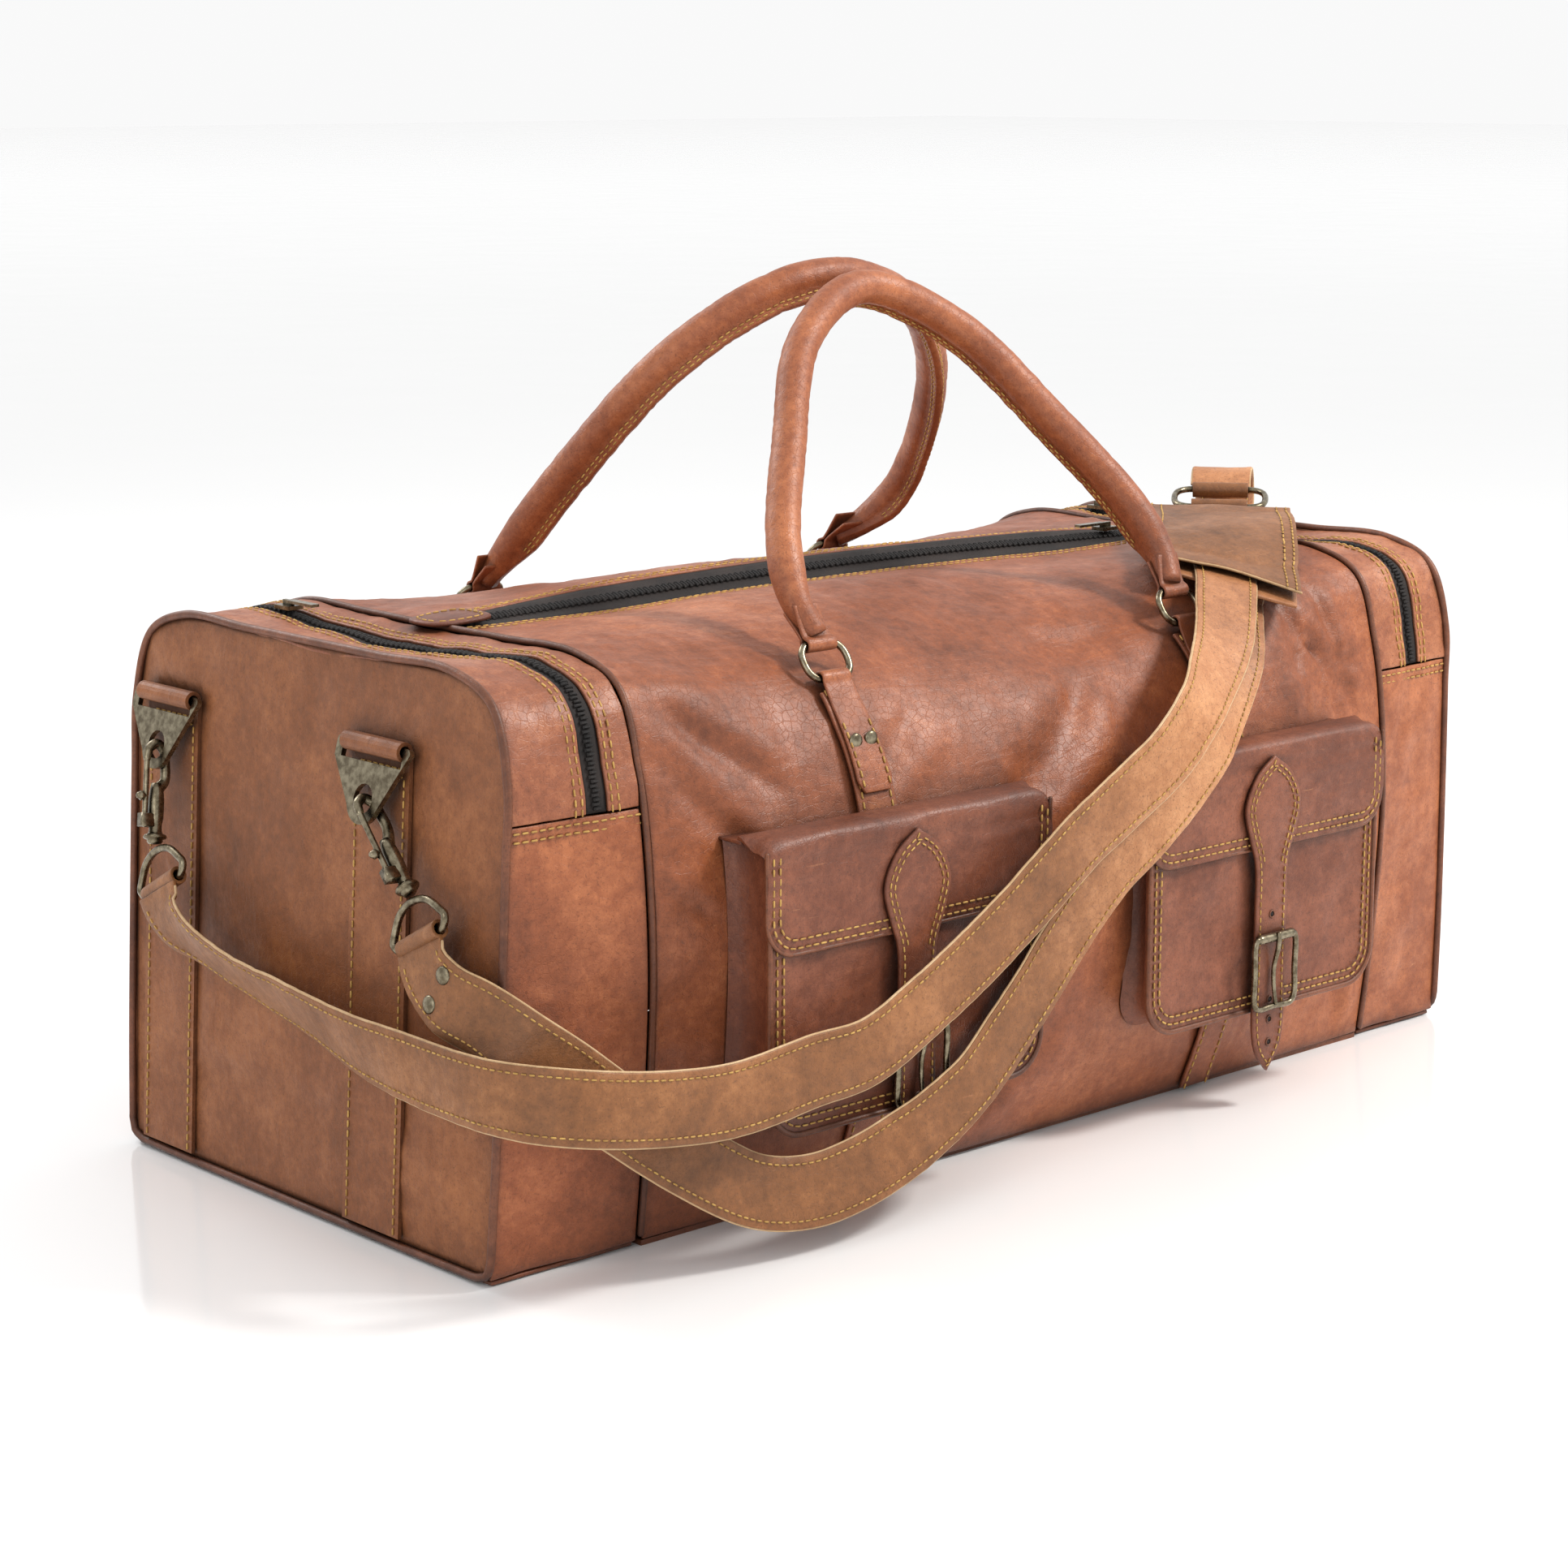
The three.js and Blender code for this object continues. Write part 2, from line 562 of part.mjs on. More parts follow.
function addPocket(side, x) {
  const wall = LEATHER;
  const body = uprightPlate(pocketOutline(x, POCKET_WIDTH, POCKET_TOP, POCKET_BOTTOM, 24), POCKET_FACE, 60);
  const inside = uprightPlate(
    pocketOutline(x, POCKET_WIDTH - 2 * wall, POCKET_TOP + 5, POCKET_BOTTOM + wall, 22),
    POCKET_FACE - wall,
    70,
  );
  const ledge = box(
    x - POCKET_WIDTH / 2, x + POCKET_WIDTH / 2,
    -FLAP_HINGE_DEPTH + 0.6, -150,
    POCKET_TOP - wall, POCKET_TOP,
  );
  const strapX = Math.sign(x) * legX;
  const strapHalf = BODY_STRAP_WIDTH / 2 + GAP;
  const overStrap = mainForm(2 * GAP + LEATHER)
    .intersect(box(strapX - strapHalf, strapX + strapHalf, -FAR, 0, 0, 400));
  const pocket = body.subtract(inside).add(ledge).subtract(mainForm(GAP)).subtract(overStrap);
  addPiece(`pocket_${side}`, pocket, DARK_LEATHER);

  const flapFace = POCKET_FACE + GAP + wall;
  const front = uprightPlate(
    pocketOutline(x, POCKET_WIDTH + 4, FLAP_HINGE_HEIGHT, FLAP_HINGE_HEIGHT - FLAP_DROP, 20),
    flapFace,
    wall,
  );
  const half = POCKET_WIDTH / 2 + 2;
  const top = box(x - half, x + half, -flapFace, -FLAP_HINGE_DEPTH, FLAP_HINGE_HEIGHT - wall, FLAP_HINGE_HEIGHT);
  addPiece(`flap_${side}`, front.add(top), DARK_LEATHER);

  const tongueFace = flapFace + GAP + wall;
  addPiece(`flap_strap_${side}`, uprightPlate(tongueOutline(x), tongueFace, wall, 8), DARK_LEATHER);

  const wire = 1.9;
  const y = -(tongueFace + GAP + 2.9);
  const [w, h] = [18, 21];
  const frame = [
    [x - w + 3, y, BUCKLE_HEIGHT - h], [x, y, BUCKLE_HEIGHT - h], [x + w - 3, y, BUCKLE_HEIGHT - h],
    [x + w, y, BUCKLE_HEIGHT - h + 4], [x + w, y, BUCKLE_HEIGHT], [x + w, y, BUCKLE_HEIGHT + h - 3],
    [x + w - 2, y, BUCKLE_HEIGHT + h], [x, y, BUCKLE_HEIGHT + h], [x - w + 2, y, BUCKLE_HEIGHT + h],
    [x - w, y, BUCKLE_HEIGHT + h - 3], [x - w, y, BUCKLE_HEIGHT], [x - w, y, BUCKLE_HEIGHT - h + 4],
  ];
  const roller = rodX(x - w + 4, x + w - 4, y, BUCKLE_HEIGHT + h, 2.9, 10);
  const prong = rod(
    new THREE.Vector3(x, y, BUCKLE_HEIGHT + h),
    new THREE.Vector3(x, y, BUCKLE_HEIGHT + h - 12),
    1.3,
    8,
  );
  const buckle = tube(smooth(frame, true), () => wire, 22, 6, true).add(roller).add(prong);
  addMetal(`flap_buckle_${side}`, buckle);
}

addPocket("left", -POCKET_CENTRE);
addPocket("right", POCKET_CENTRE + 5);

// ---- Shoulder strap --------------------------------------------------------------------------------
// A point no nearer than a clearance to the main compartment's skin, measured along a ray from its core.
const CORE = new THREE.Vector2(-90, 215);

function pushedOut(point, clearance) {
  if (clearance <= 0 || point.x < SEAM_LEFT) return point;
  const section = sectionPoints(SEAM_CURVE, MIDDLE_CURVE, Math.max(0, fullness(point.x)), 0);
  const ray = new THREE.Vector2(point.y, point.z).sub(CORE);
  const reach = ray.length();
  ray.normalize();
  let skin = 0;
  for (let i = 1; i < section.length; i++) {
    const from = section[i - 1].clone().sub(CORE);
    const edge = section[i].clone().sub(section[i - 1]);
    const share = from.cross(ray) / ray.cross(edge);
    const distance = from.clone().addScaledVector(edge, share).dot(ray);
    if (share >= -0.01 && share <= 1.01) skin = Math.max(skin, distance);
  }
  const wanted = Math.max(reach, skin + clearance);
  return new THREE.Vector3(point.x, CORE.x + ray.x * wanted, CORE.y + ray.y * wanted);
}

// A flat band along a hand-laid route. Each point has a place and the way its outer face looks;
// where the band would lie on the bag it bends over the skin, held off it by the clearance.
function band(route, width, thickness, steps, clearance = 0, columns = 3) {
  const path = smooth(route.map(([place]) => place));
  const facing = smooth(route.map(([, face]) => face));
  const rings = [];
  for (let i = 0; i <= steps; i++) {
    const t = i / steps;
    const centre = path.getPoint(t);
    const along = path.getTangent(t);
    const out = facing.getPoint(t);
    out.addScaledVector(along, -out.dot(along)).normalize();
    const across = new THREE.Vector3().crossVectors(along, out);
    const row = (level) =>
      Array.from({ length: columns }, (_, j) => {
        const a = (2 * j) / (columns - 1) - 1;
        const point = centre.clone().addScaledVector(across, (a * width) / 2);
        point.addScaledVector(out, (level * thickness) / 2);
        return pushedOut(point, clearance && clearance + ((level + 1) * thickness) / 2);
      });
    rings.push([...row(-1), ...row(1).reverse()]);
  }
  return loft(rings);
}

// The end of a band sewn round a bar: a short roll about it and the hollow the bar passes through.
function bandEnd(piece, bar, direction, barRadius) {
  const half = new THREE.Vector3(...direction).setLength(STRAP_WIDTH / 2 - 2);
  const centre = new THREE.Vector3(...bar);
  const [from, to] = [centre.clone().sub(half), centre.clone().add(half)];
  const roll = rod(from, to, barRadius + 3.1, 12);
  half.multiplyScalar(1.2);
  const hollow = rod(centre.clone().sub(half), centre.clone().add(half), barRadius + 0.9, 12);
  const parts = piece.add(roll).subtract(hollow).decompose();
  return parts.sort((a, b) => b.volume() - a.volume())[0];
}

const DEE_WIRE = 2.1;
const BUCKLE_WIRE = 2;
const FRONT_DEE_BAR = [-391, -122, 175];
const FRONT_DEE_ACROSS = [0, -0.88, 0.48];
const BACK_DEE_BAR = [-401, 103, 165];
const BACK_DEE_ACROSS = [0, -0.88, 0.48];
const BUCKLE_ALONG = [0.75, 0.62, 0.22];
const BUCKLE_ACROSS = [-0.64, 0.77, 0];
const BUCKLE_CENTRE = [324, -29, 331];
const BUCKLE_HALF_LENGTH = 16;
const buckleBar = (sign) =>
  BUCKLE_CENTRE.map((c, i) => c + sign * BUCKLE_HALF_LENGTH * BUCKLE_ALONG[i]);

const LONG_ROUTE = [
  [[-405.6, 102, 163], [-1, 0, 0.1]],
  [[-406, 94, 150], [-0.97, 0, -0.2]],
  [[-402.5, 70, 138], [-0.82, 0, -0.55]],
  [[-400, 36, 128], [-0.8, 0, -0.6]],
  [[-400, -20, 120], [-0.85, 0, -0.5]],
  [[-403, -75, 113], [-0.95, 0, -0.3]],
  [[-405, -130, 111], [-1, -0.2, -0.1]],
  [[-404, -196, 111], [-0.8, -0.6, 0]],
  [[-386, -231, 110], [-0.5, -0.85, 0.15]],
  [[-338, -243, 102], [-0.2, -1, 0.1]],
  [[-286, -244, 97], [-0.1, -1, 0.1]],
  [[-232, -243, 101], [0, -1, 0.1]],
  [[-194, -244, 104], [0, -1, 0]],
  [[-156, -244, 120], [0, -1, 0]],
  [[-117, -243, 139], [0, -1, 0]],
  [[-80, -242, 160], [0, -1, 0]],
  [[-31, -241, 191], [0, -1, 0]],
  [[0, -240, 207], [0, -1, 0]],
  [[40, -240, 229], [0, -1, 0.05]],
  [[70, -235, 250], [0, -1, 0.15]],
  [[100, -219, 266], [-0.1, -0.9, 0.35]],
  [[133, -198, 281], [-0.2, -0.75, 0.55]],
  [[165, -172, 297], [-0.2, -0.6, 0.75]],
  [[190, -150, 305], [-0.2, -0.5, 0.82]],
  [[238, -103, 315], [-0.1, -0.3, 0.95]],
  [[272, -74, 321], [-0.1, -0.2, 1]],
  [[296, -52, 325], [-0.1, -0.1, 1]],
  [buckleBar(-1), [-0.1, -0.1, 1]],
];
const SHORT_ROUTE = [
  [[-392.5, -123, 172], [-1, 0, 0.1]],
  [[-395, -130, 161], [-1, 0, 0.1]],
  [[-395.5, -148, 150], [-0.95, -0.2, 0.1]],
  [[-391, -172, 143], [-0.85, -0.5, 0.1]],
  [[-384, -194, 132], [-0.6, -0.8, 0.1]],
  [[-367, -206, 117], [-0.4, -0.9, 0.1]],
  [[-342, -216, 95], [-0.2, -1, 0.1]],
  [[-302, -226, 64], [-0.1, -1, 0.1]],
  [[-262, -232, 40], [0, -1, 0.2]],
  [[-228, -237, 34], [0, -1, 0.25]],
  [[-197, -240, 38], [0, -1, 0.25]],
  [[-168, -241, 46], [0, -1, 0.2]],
  [[-143, -241, 55], [0, -1, 0.1]],
  [[-110, -239, 71], [0, -1, 0]],
  [[-82, -236, 92], [0, -1, 0]],
  [[-57, -233, 112], [0, -1, 0]],
  [[-32, -232, 137], [0, -1, 0]],
  [[5, -231, 168], [0, -1, 0]],
  [[43, -230, 190], [0, -1, 0]],
  [[72, -231, 213], [0, -1, 0]],
  [[93, -229, 232], [0, -1, 0.05]],
  [[117, -214, 248], [0, -0.9, 0.35]],
  [[150, -193, 269], [-0.1, -0.75, 0.6]],
  [[180, -165, 286], [-0.2, -0.6, 0.75]],
  [[207, -140, 294], [-0.2, -0.45, 0.9]],
  [[240, -110, 303], [-0.1, -0.3, 0.95]],
  [[275, -76, 311], [-0.1, -0.2, 1]],
  [[310, -46, 314], [0, -0.1, 1]],
  [[340, -20, 314], [0, 0, 1]],
  [[364, 1, 316], [-0.3, -0.3, 0.9]],
  [[377, 12, 328], [-0.75, -0.65, 0]],
  [[367, 5, 343], [-0.4, -0.35, -0.8]],
  [[352, -6, 344], [0.2, 0.2, -0.95]],
  [buckleBar(1), [0.5, 0.5, -0.7]],
];
const SHORT_LIFT = 3.6;
const PAD_LIFT = 7.4;
const PAD_THICKNESS = 9;
const LONG_LIFT = PAD_LIFT + 3.2;

const longBand = band(LONG_ROUTE, STRAP_WIDTH, STRAP_THICKNESS, 60, LONG_LIFT);
const shortBand = band(SHORT_ROUTE, STRAP_WIDTH, STRAP_THICKNESS, 68, SHORT_LIFT);
addPiece(
  "shoulder_strap_long",
  bandEnd(
    bandEnd(longBand, BACK_DEE_BAR, BACK_DEE_ACROSS, DEE_WIRE),
    buckleBar(-1), BUCKLE_ACROSS, BUCKLE_WIRE,
  ),
  STRAP_LEATHER,
);
addPiece(
  "shoulder_strap_short",
  bandEnd(
    bandEnd(shortBand, FRONT_DEE_BAR, FRONT_DEE_ACROSS, DEE_WIRE),
    buckleBar(1), BUCKLE_ACROSS, BUCKLE_WIRE,
  ),
  STRAP_LEATHER,
);

// The shoulder pad is a sleeve round the long strap where it crosses the bag's shoulder.
const padBore = band(LONG_ROUTE.slice(20, 28), STRAP_WIDTH + 5, STRAP_THICKNESS + 2.4, 24, LONG_LIFT - 1.2);
const pad = band(LONG_ROUTE.slice(23, 27), PAD_WIDTH, PAD_THICKNESS, 10, PAD_LIFT, 7);
addPiece("shoulder_pad", pad.subtract(padBore), STRAP_LEATHER);

function frameOf(across, up) {
  const y = new THREE.Vector3(...up).normalize();
  const x = new THREE.Vector3(...across);
  x.addScaledVector(y, -x.dot(y)).normalize();
  return new THREE.Matrix4().makeBasis(x, y, new THREE.Vector3().crossVectors(x, y));
}

// A rounded wire frame joins the ends of the two straps.
function addStrapBuckle() {
  const group = new THREE.Group();
  group.position.set(...BUCKLE_CENTRE);
  group.quaternion.setFromRotationMatrix(frameOf(BUCKLE_ACROSS, BUCKLE_ALONG));
  bag.add(group);
  const [w, h] = [28, BUCKLE_HALF_LENGTH];
  const frame = [
    [-w + 6, -h, 0], [0, -h, 0], [w - 6, -h, 0], [w, -h + 6, 0], [w, h - 6, 0],
    [w - 6, h, 0], [0, h, 0], [-w + 6, h, 0], [-w, h - 6, 0], [-w, -h + 6, 0],
  ];
  addMetal("strap_buckle", tube(smooth(frame, true), () => BUCKLE_WIRE, 26, 6, true), group);
}
addStrapBuckle();

// ---- Bolt snaps ------------------------------------------------------------------------------------
// Local frame: the swivel is at the origin, +y runs up the barrel to the triangle's eye and +x faces out.
const BOLT_X = 6.8;
const BARREL_LENGTH = 32;

function addSnap(name, swivel, eye, deeBar, deeAcross) {
  const up = eye.map((c, i) => c - swivel[i]);
  const reach = Math.hypot(...up);
  const group = new THREE.Group();
  group.position.set(...swivel);
  group.quaternion.setFromRotationMatrix(frameOf([-1, 0, 0], up));
  bag.add(group);

  const at = (x, y, z = 0) => new THREE.Vector3(x, y, z);
  const hookPath = smooth([
    [-1.5, BARREL_LENGTH - 2, 0], [-4.6, reach - 20, 0], [-4.6, reach - 10, 0], [-3.6, reach - 3, 0],
    [1, reach + 0.5, 0], [5.5, reach - 2.5, 0], [BOLT_X, reach - 8, 0],
  ]);
  const barrel = rod(at(0, 3), at(0, BARREL_LENGTH), 4.4, 12);
  const collar = rod(at(0, 0), at(0, 4), 6.3, 12);
  const guide = box(2, BOLT_X + 3.4, 8, 15, -3.2, 3.2);
  const bore = rod(at(BOLT_X, 0), at(BOLT_X, 38), 2.1, 12);
  const hook = tube(hookPath, () => 2.3, 12, 7);
  addMetal(`${name}_body`, barrel.add(collar).add(guide).add(hook).subtract(bore), group);

  const pin = rod(at(BOLT_X, 9), at(BOLT_X, reach - 8.5), 1.6, 10);
  const knob = rod(at(BOLT_X, 25), at(BOLT_X + 5, 25), 2.3, 10);
  addMetal(`${name}_bolt`, pin.add(knob), group);

  // The dee ring hangs from the swivel; its straight bar carries the strap.
  const drop = swivel.map((c, i) => c - deeBar[i]);
  const height = Math.hypot(...drop);
  const dee = new THREE.Group();
  dee.position.set(...deeBar);
  dee.quaternion.setFromRotationMatrix(frameOf(deeAcross, drop));
  bag.add(dee);
  const top = height - 3 - DEE_WIRE;
  const outline = [
    [0, top, 0], [-13, top - 3, 0], [-22, top - 11, 0], [-25, 5, 0], [-21, 0, 0],
    [0, 0, 0], [21, 0, 0], [25, 5, 0], [22, top - 11, 0], [13, top - 3, 0],
  ];
  addMetal(`${name}_ring`, tube(smooth(outline, true), () => DEE_WIRE, 28, 6, true), dee);
}

// The eye of a triangular ring, hanging 28 below the bar on a strap of the left end panel.
function eyeOf(y) {
  const tilt = THREE.MathUtils.degToRad(LEFT_TILT);
  const x = endX(ends.left, TRIANGLE_BAR_HEIGHT) - barOut - EYE_DROP * Math.sin(tilt);
  return [x, y, TRIANGLE_BAR_HEIGHT - EYE_DROP * Math.cos(tilt)];
}

addSnap("front_snap", [-389, -110, 197], eyeOf(END_STRAP_FRONT), FRONT_DEE_BAR, FRONT_DEE_ACROSS);
addSnap("back_snap", [-398, 115, 187], eyeOf(END_STRAP_BACK), BACK_DEE_BAR, BACK_DEE_ACROSS);

// ---- Zip sliders -----------------------------------------------------------------------------------
// A slider is a small bridge over the teeth with a pull lying on it; local -x is where the pull points.
function addSlider(name, [x, y, z], turn) {
  const group = new THREE.Group();
  group.position.set(x, y, z);
  group.rotation.z = turn;
  bag.add(group);
  const bridge = box(-7, 7, -5, 5, 0, 2.2);
  const arch = box(-4, 4, -1.2, 1.2, 1.8, 5);
  const pull = box(-26, -2, -2.6, 2.6, 3.6, 5.2);
  addMetal(name, bridge.add(arch).add(pull), group);
}

const crown = (x) => HEIGHT + 8 * fullness(x);
const MAIN_SLIDER_X = 246;
const END_SLIDER_Y = 96;
const END_SLIDER_LIFT = 1.1;
addSlider("main_zip_slider", [MAIN_SLIDER_X, 0, crown(MAIN_SLIDER_X) + 1.6], 0);
addSlider("left_end_zip_slider", [END_ZIP_LEFT, END_SLIDER_Y, HEIGHT + END_SLIDER_LIFT], Math.PI / 2);
addSlider("right_end_zip_slider", [END_ZIP_RIGHT, END_SLIDER_Y, HEIGHT + END_SLIDER_LIFT], Math.PI / 2);

export default bag;
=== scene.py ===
"""A leather duffel bag's looks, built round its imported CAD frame.

Lengths in this file are millimetres until a mesh is made.
"""

import math

import bmesh
import bpy
import numpy as np
from mathutils import Matrix, Vector, noise


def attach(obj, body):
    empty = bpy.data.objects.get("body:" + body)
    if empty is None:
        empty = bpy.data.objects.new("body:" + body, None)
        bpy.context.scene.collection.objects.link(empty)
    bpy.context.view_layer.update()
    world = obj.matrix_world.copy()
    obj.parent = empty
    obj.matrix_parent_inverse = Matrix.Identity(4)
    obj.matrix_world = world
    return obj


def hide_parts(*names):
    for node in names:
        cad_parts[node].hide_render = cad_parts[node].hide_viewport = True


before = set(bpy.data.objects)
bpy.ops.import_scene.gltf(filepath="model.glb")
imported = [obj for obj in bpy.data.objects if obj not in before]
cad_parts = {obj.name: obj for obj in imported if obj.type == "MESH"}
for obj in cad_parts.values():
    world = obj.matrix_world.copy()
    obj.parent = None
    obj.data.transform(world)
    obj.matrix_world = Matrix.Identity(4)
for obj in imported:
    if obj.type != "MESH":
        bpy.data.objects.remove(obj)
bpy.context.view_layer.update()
MM = 0.001


# ---- Camera --------------------------------------------------------------------------------------
TARGET = Vector((0.023, 0.0617, 0.169))
AZIMUTH, ELEVATION, DISTANCE = math.radians(-42.24), math.radians(11.74), 2.1487

camera = bpy.data.objects.new("camera", bpy.data.cameras.new("camera"))
bpy.context.scene.collection.objects.link(camera)
bpy.context.scene.camera = camera
back = Vector((
    math.sin(AZIMUTH) * math.cos(ELEVATION), -math.cos(AZIMUTH) * math.cos(ELEVATION), math.sin(ELEVATION),
))
camera.location = TARGET + back * DISTANCE
camera.rotation_mode = "QUATERNION"
camera.rotation_quaternion = (-back).to_track_quat("-Z", "Y")
camera.data.lens = 79.25
camera.data.sensor_width = 36
camera.data.clip_start, camera.data.clip_end = 0.05, 50


# ---- The bag's measures, as in the CAD part ------------------------------------------------------
LENGTH, HEIGHT = 774, 310
SEAM_LEFT, SEAM_RIGHT = -289, 308
LEATHER, SEAM_GAP = 2.2, 2.4
END_SECTION = [
    (168, 0), (170, 60), (171, 150), (171, 220), (170.5, 258), (157, 296), (123, 310), (62, 310), (0, 310),
]
SEAM_SECTION = [
    (169, 0), (176, 60), (182, 150), (178, 220), (171, 258), (157, 296), (123, 310), (62, 310.5), (0, 310),
]
MIDDLE_SECTION = [
    (172, 0), (196, 60), (207, 150), (200, 215), (178, 258), (150, 281), (95, 303), (48, 314), (0, 318),
]
MAIN_ZIP_HALF, MAIN_ZIP_LEFT, MAIN_ZIP_RIGHT = 12, -272, 296
END_ZIP_HALF, END_ZIP_BOTTOM = 6.7, 237
ENDS = {
    "left": dict(side=-1, seam=SEAM_LEFT, lean=18, zip=-318),
    "right": dict(side=1, seam=SEAM_RIGHT, lean=7, zip=345),
}
LEG_X, PIVOT_DEPTH, PIVOT_HEIGHT = 143, 160, 285
RING_HEIGHT = 20
POCKET_WIDTH, POCKET_BOTTOM, POCKET_TOP, POCKET_FACE = 206, 58, 217, 222
FLAP_HINGE_DEPTH, FLAP_HINGE_HEIGHT, FLAP_DROP = 201.5, 220.5, 63
BUCKLE_HEIGHT = 84
END_STRAP_WIDTH, END_STRAP_Y = 50, {"front": -68, "back": 128}
BAR_HEIGHT, BAR_OUT, EYE_DROP, EYE_TILT = 265, 6, 28, math.radians(16)
STRAP_WIDTH, STRAP_THICKNESS = 38, 3


# ---- Curves and grids ----------------------------------------------------------------------------
def spline(points, closed=False):
    """A centripetal curve through points; the result maps numbers from 0 to 1 to places on it."""
    pts = np.array(points, float)
    count = len(pts)

    def point_at(index):
        if closed:
            return pts[index % count]
        if index < 0:
            return 2 * pts[0] - pts[1]
        return pts[index] if index < count else 2 * pts[-1] - pts[-2]

    def at(share):
        where = share * (count if closed else count - 1)
        start = int(math.floor(where))
        if not closed:
            start = min(max(start, 0), count - 2)
        t = where - start
        a, b, c, d = (point_at(start + k) for k in (-1, 0, 1, 2))
        ab, bc, cd = (max(np.linalg.norm(q - p) ** 0.5, 1e-4) for p, q in ((a, b), (b, c), (c, d)))
        out = ((b - a) / ab - (c - a) / (ab + bc) + (c - b) / bc) * bc
        into = ((c - b) / bc - (d - b) / (bc + cd) + (d - c) / cd) * bc
        return b + out * t + (3 * (c - b) - 2 * out - into) * t**2 + (2 * (b - c) + out + into) * t**3

    return lambda shares: np.array([at(s) for s in np.atleast_1d(shares)])


def even(path, step):
    """Points about one step apart along a fine polyline."""
    path = np.asarray(path, float)
    run = np.concatenate([[0], np.cumsum(np.linalg.norm(np.diff(path, axis=0), axis=1))])
    count = max(2, int(round(run[-1] / step)) + 1)
    marks = np.linspace(0, run[-1], count)
    return np.stack([np.interp(marks, run, path[:, k]) for k in range(path.shape[1])], axis=1)


def turns(count):
    """Evenly spaced angles once round a circle."""
    return np.linspace(0, 2 * math.pi, count, endpoint=False)


def upright(line, y):
    """Points of (x, z) stood up at depth y."""
    return np.stack([line[:, 0], np.broadcast_to(np.asarray(y, float), len(line)), line[:, 1]], axis=1)


def fbm(points, size, depth=3, seed=0.0):
    """Fractal noise at each point, in patches about as large as size."""
    shift = Vector((seed, seed, seed))
    return np.array([noise.fractal(Vector(p) / size + shift, 0.6, 2.1, depth) for p in points])


def normals_of(grid, closed=False):
    """Unit normals of a grid of points."""
    if closed:
        wide = np.concatenate([grid[-1:], grid, grid[:1]])
        du = (wide[2:] - wide[:-2]) / 2
    else:
        du = np.gradient(grid, axis=0)
    dv = np.gradient(grid, axis=1)
    n = np.cross(du, dv)
    return n / np.maximum(np.linalg.norm(n, axis=2, keepdims=True), 1e-9)


def normals_facing(grid, at, axis, sign):
    """Unit normals, turned so that the one at a place of the grid points up (1) or down (-1) an axis."""
    normals = normals_of(grid)
    return -normals if normals[at][axis] * sign < 0 else normals


def fullness(x):
    """How far the section at x has swollen from a seam's (0) to the middle's (1)."""
    share = (x - SEAM_LEFT) / (SEAM_RIGHT - SEAM_LEFT)
    return np.clip(1 - (2 * share - 1) ** 2, 0, 1)


def end_x(end, z):
    """Where the leaning end panel is at a height."""
    return end["side"] * (LENGTH / 2 - end["lean"] * z / HEIGHT)


SECTION_ROWS = 121


class Skin:
    """The bag's outer form along X: half sections of (depth, height), from a bottom edge up to the middle."""

    FINE_ROWS, NO_LIMIT = 1201, 400.0
    TABLES = [
        spline(section)(np.linspace(0, 1, SECTION_ROWS))
        for section in (END_SECTION, SEAM_SECTION, MIDDLE_SECTION)
    ]

    @classmethod
    def half(cls, x, end=None):
        """(depth, height) rows at x on one half of the section."""
        ends, seams, middles = cls.TABLES
        if end is None:
            f = float(fullness(x))
            return seams * (1 - f) + middles * f
        share = np.clip((x - end["seam"]) / (end_x(end, 160) - end["seam"]), 0, 1)
        return seams * (1 - share) + ends * share

    @classmethod
    def run(cls, x, face, end=None, low=0.0, high=NO_LIMIT, edge=0.0, count=40):
        """Evenly spaced points at x on the front (-1) or back (1), from a height up to a depth."""
        rows = cls.half(x, end)
        marks = np.linspace(0, SECTION_ROWS - 1, cls.FINE_ROWS)
        fine = np.stack([np.interp(marks, np.arange(SECTION_ROWS), rows[:, k]) for k in (0, 1)], axis=1)
        keep = fine[(fine[:, 1] >= low) & (fine[:, 1] <= high) & (fine[:, 0] >= edge)]
        marks = even(keep, np.linalg.norm(np.diff(keep, axis=0), axis=1).sum() / (count - 1))
        marks = marks[:count] if len(marks) >= count else np.concatenate([marks, marks[-1:]])
        return np.stack([np.full(count, x), face * marks[:, 0], marks[:, 1]], axis=1)

    @staticmethod
    def whole(rows):
        """Both halves of a section, from the front's bottom edge over the top to the back's."""
        return np.concatenate([rows * [-1, 1], rows[::-1][1:]])


# ---- Meshes --------------------------------------------------------------------------------------
def quads(rows, columns, wrap_rows=False, wrap_columns=False):
    """Faces between the points of a grid."""
    faces = []
    for i in range(rows if wrap_rows else rows - 1):
        for j in range(columns if wrap_columns else columns - 1):
            k, m = (i + 1) % rows, (j + 1) % columns
            faces.append((i * columns + j, k * columns + j, k * columns + m, i * columns + m))
    return faces


def piece(name, points, faces, material, body="bag", slot=None, replaces=(), smooth=True):
    """A visible piece from points in mm, riding on a body."""
    mesh = bpy.data.meshes.new(name)
    places = [tuple(p) for p in np.asarray(points) * MM]
    mesh.from_pydata(places, [], [tuple(int(i) for i in f) for f in faces])
    bm = bmesh.new()
    bm.from_mesh(mesh)
    bmesh.ops.remove_doubles(bm, verts=bm.verts, dist=1e-6)
    bmesh.ops.recalc_face_normals(bm, faces=bm.faces)
    bm.to_mesh(mesh)
    bm.free()
    if smooth:
        mesh.shade_smooth()
    obj = bpy.data.objects.new(name, mesh)
    bpy.context.scene.collection.objects.link(obj)
    mesh.materials.append(material)
    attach(obj, body)
    if replaces:
        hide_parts(*replaces)
    return obj


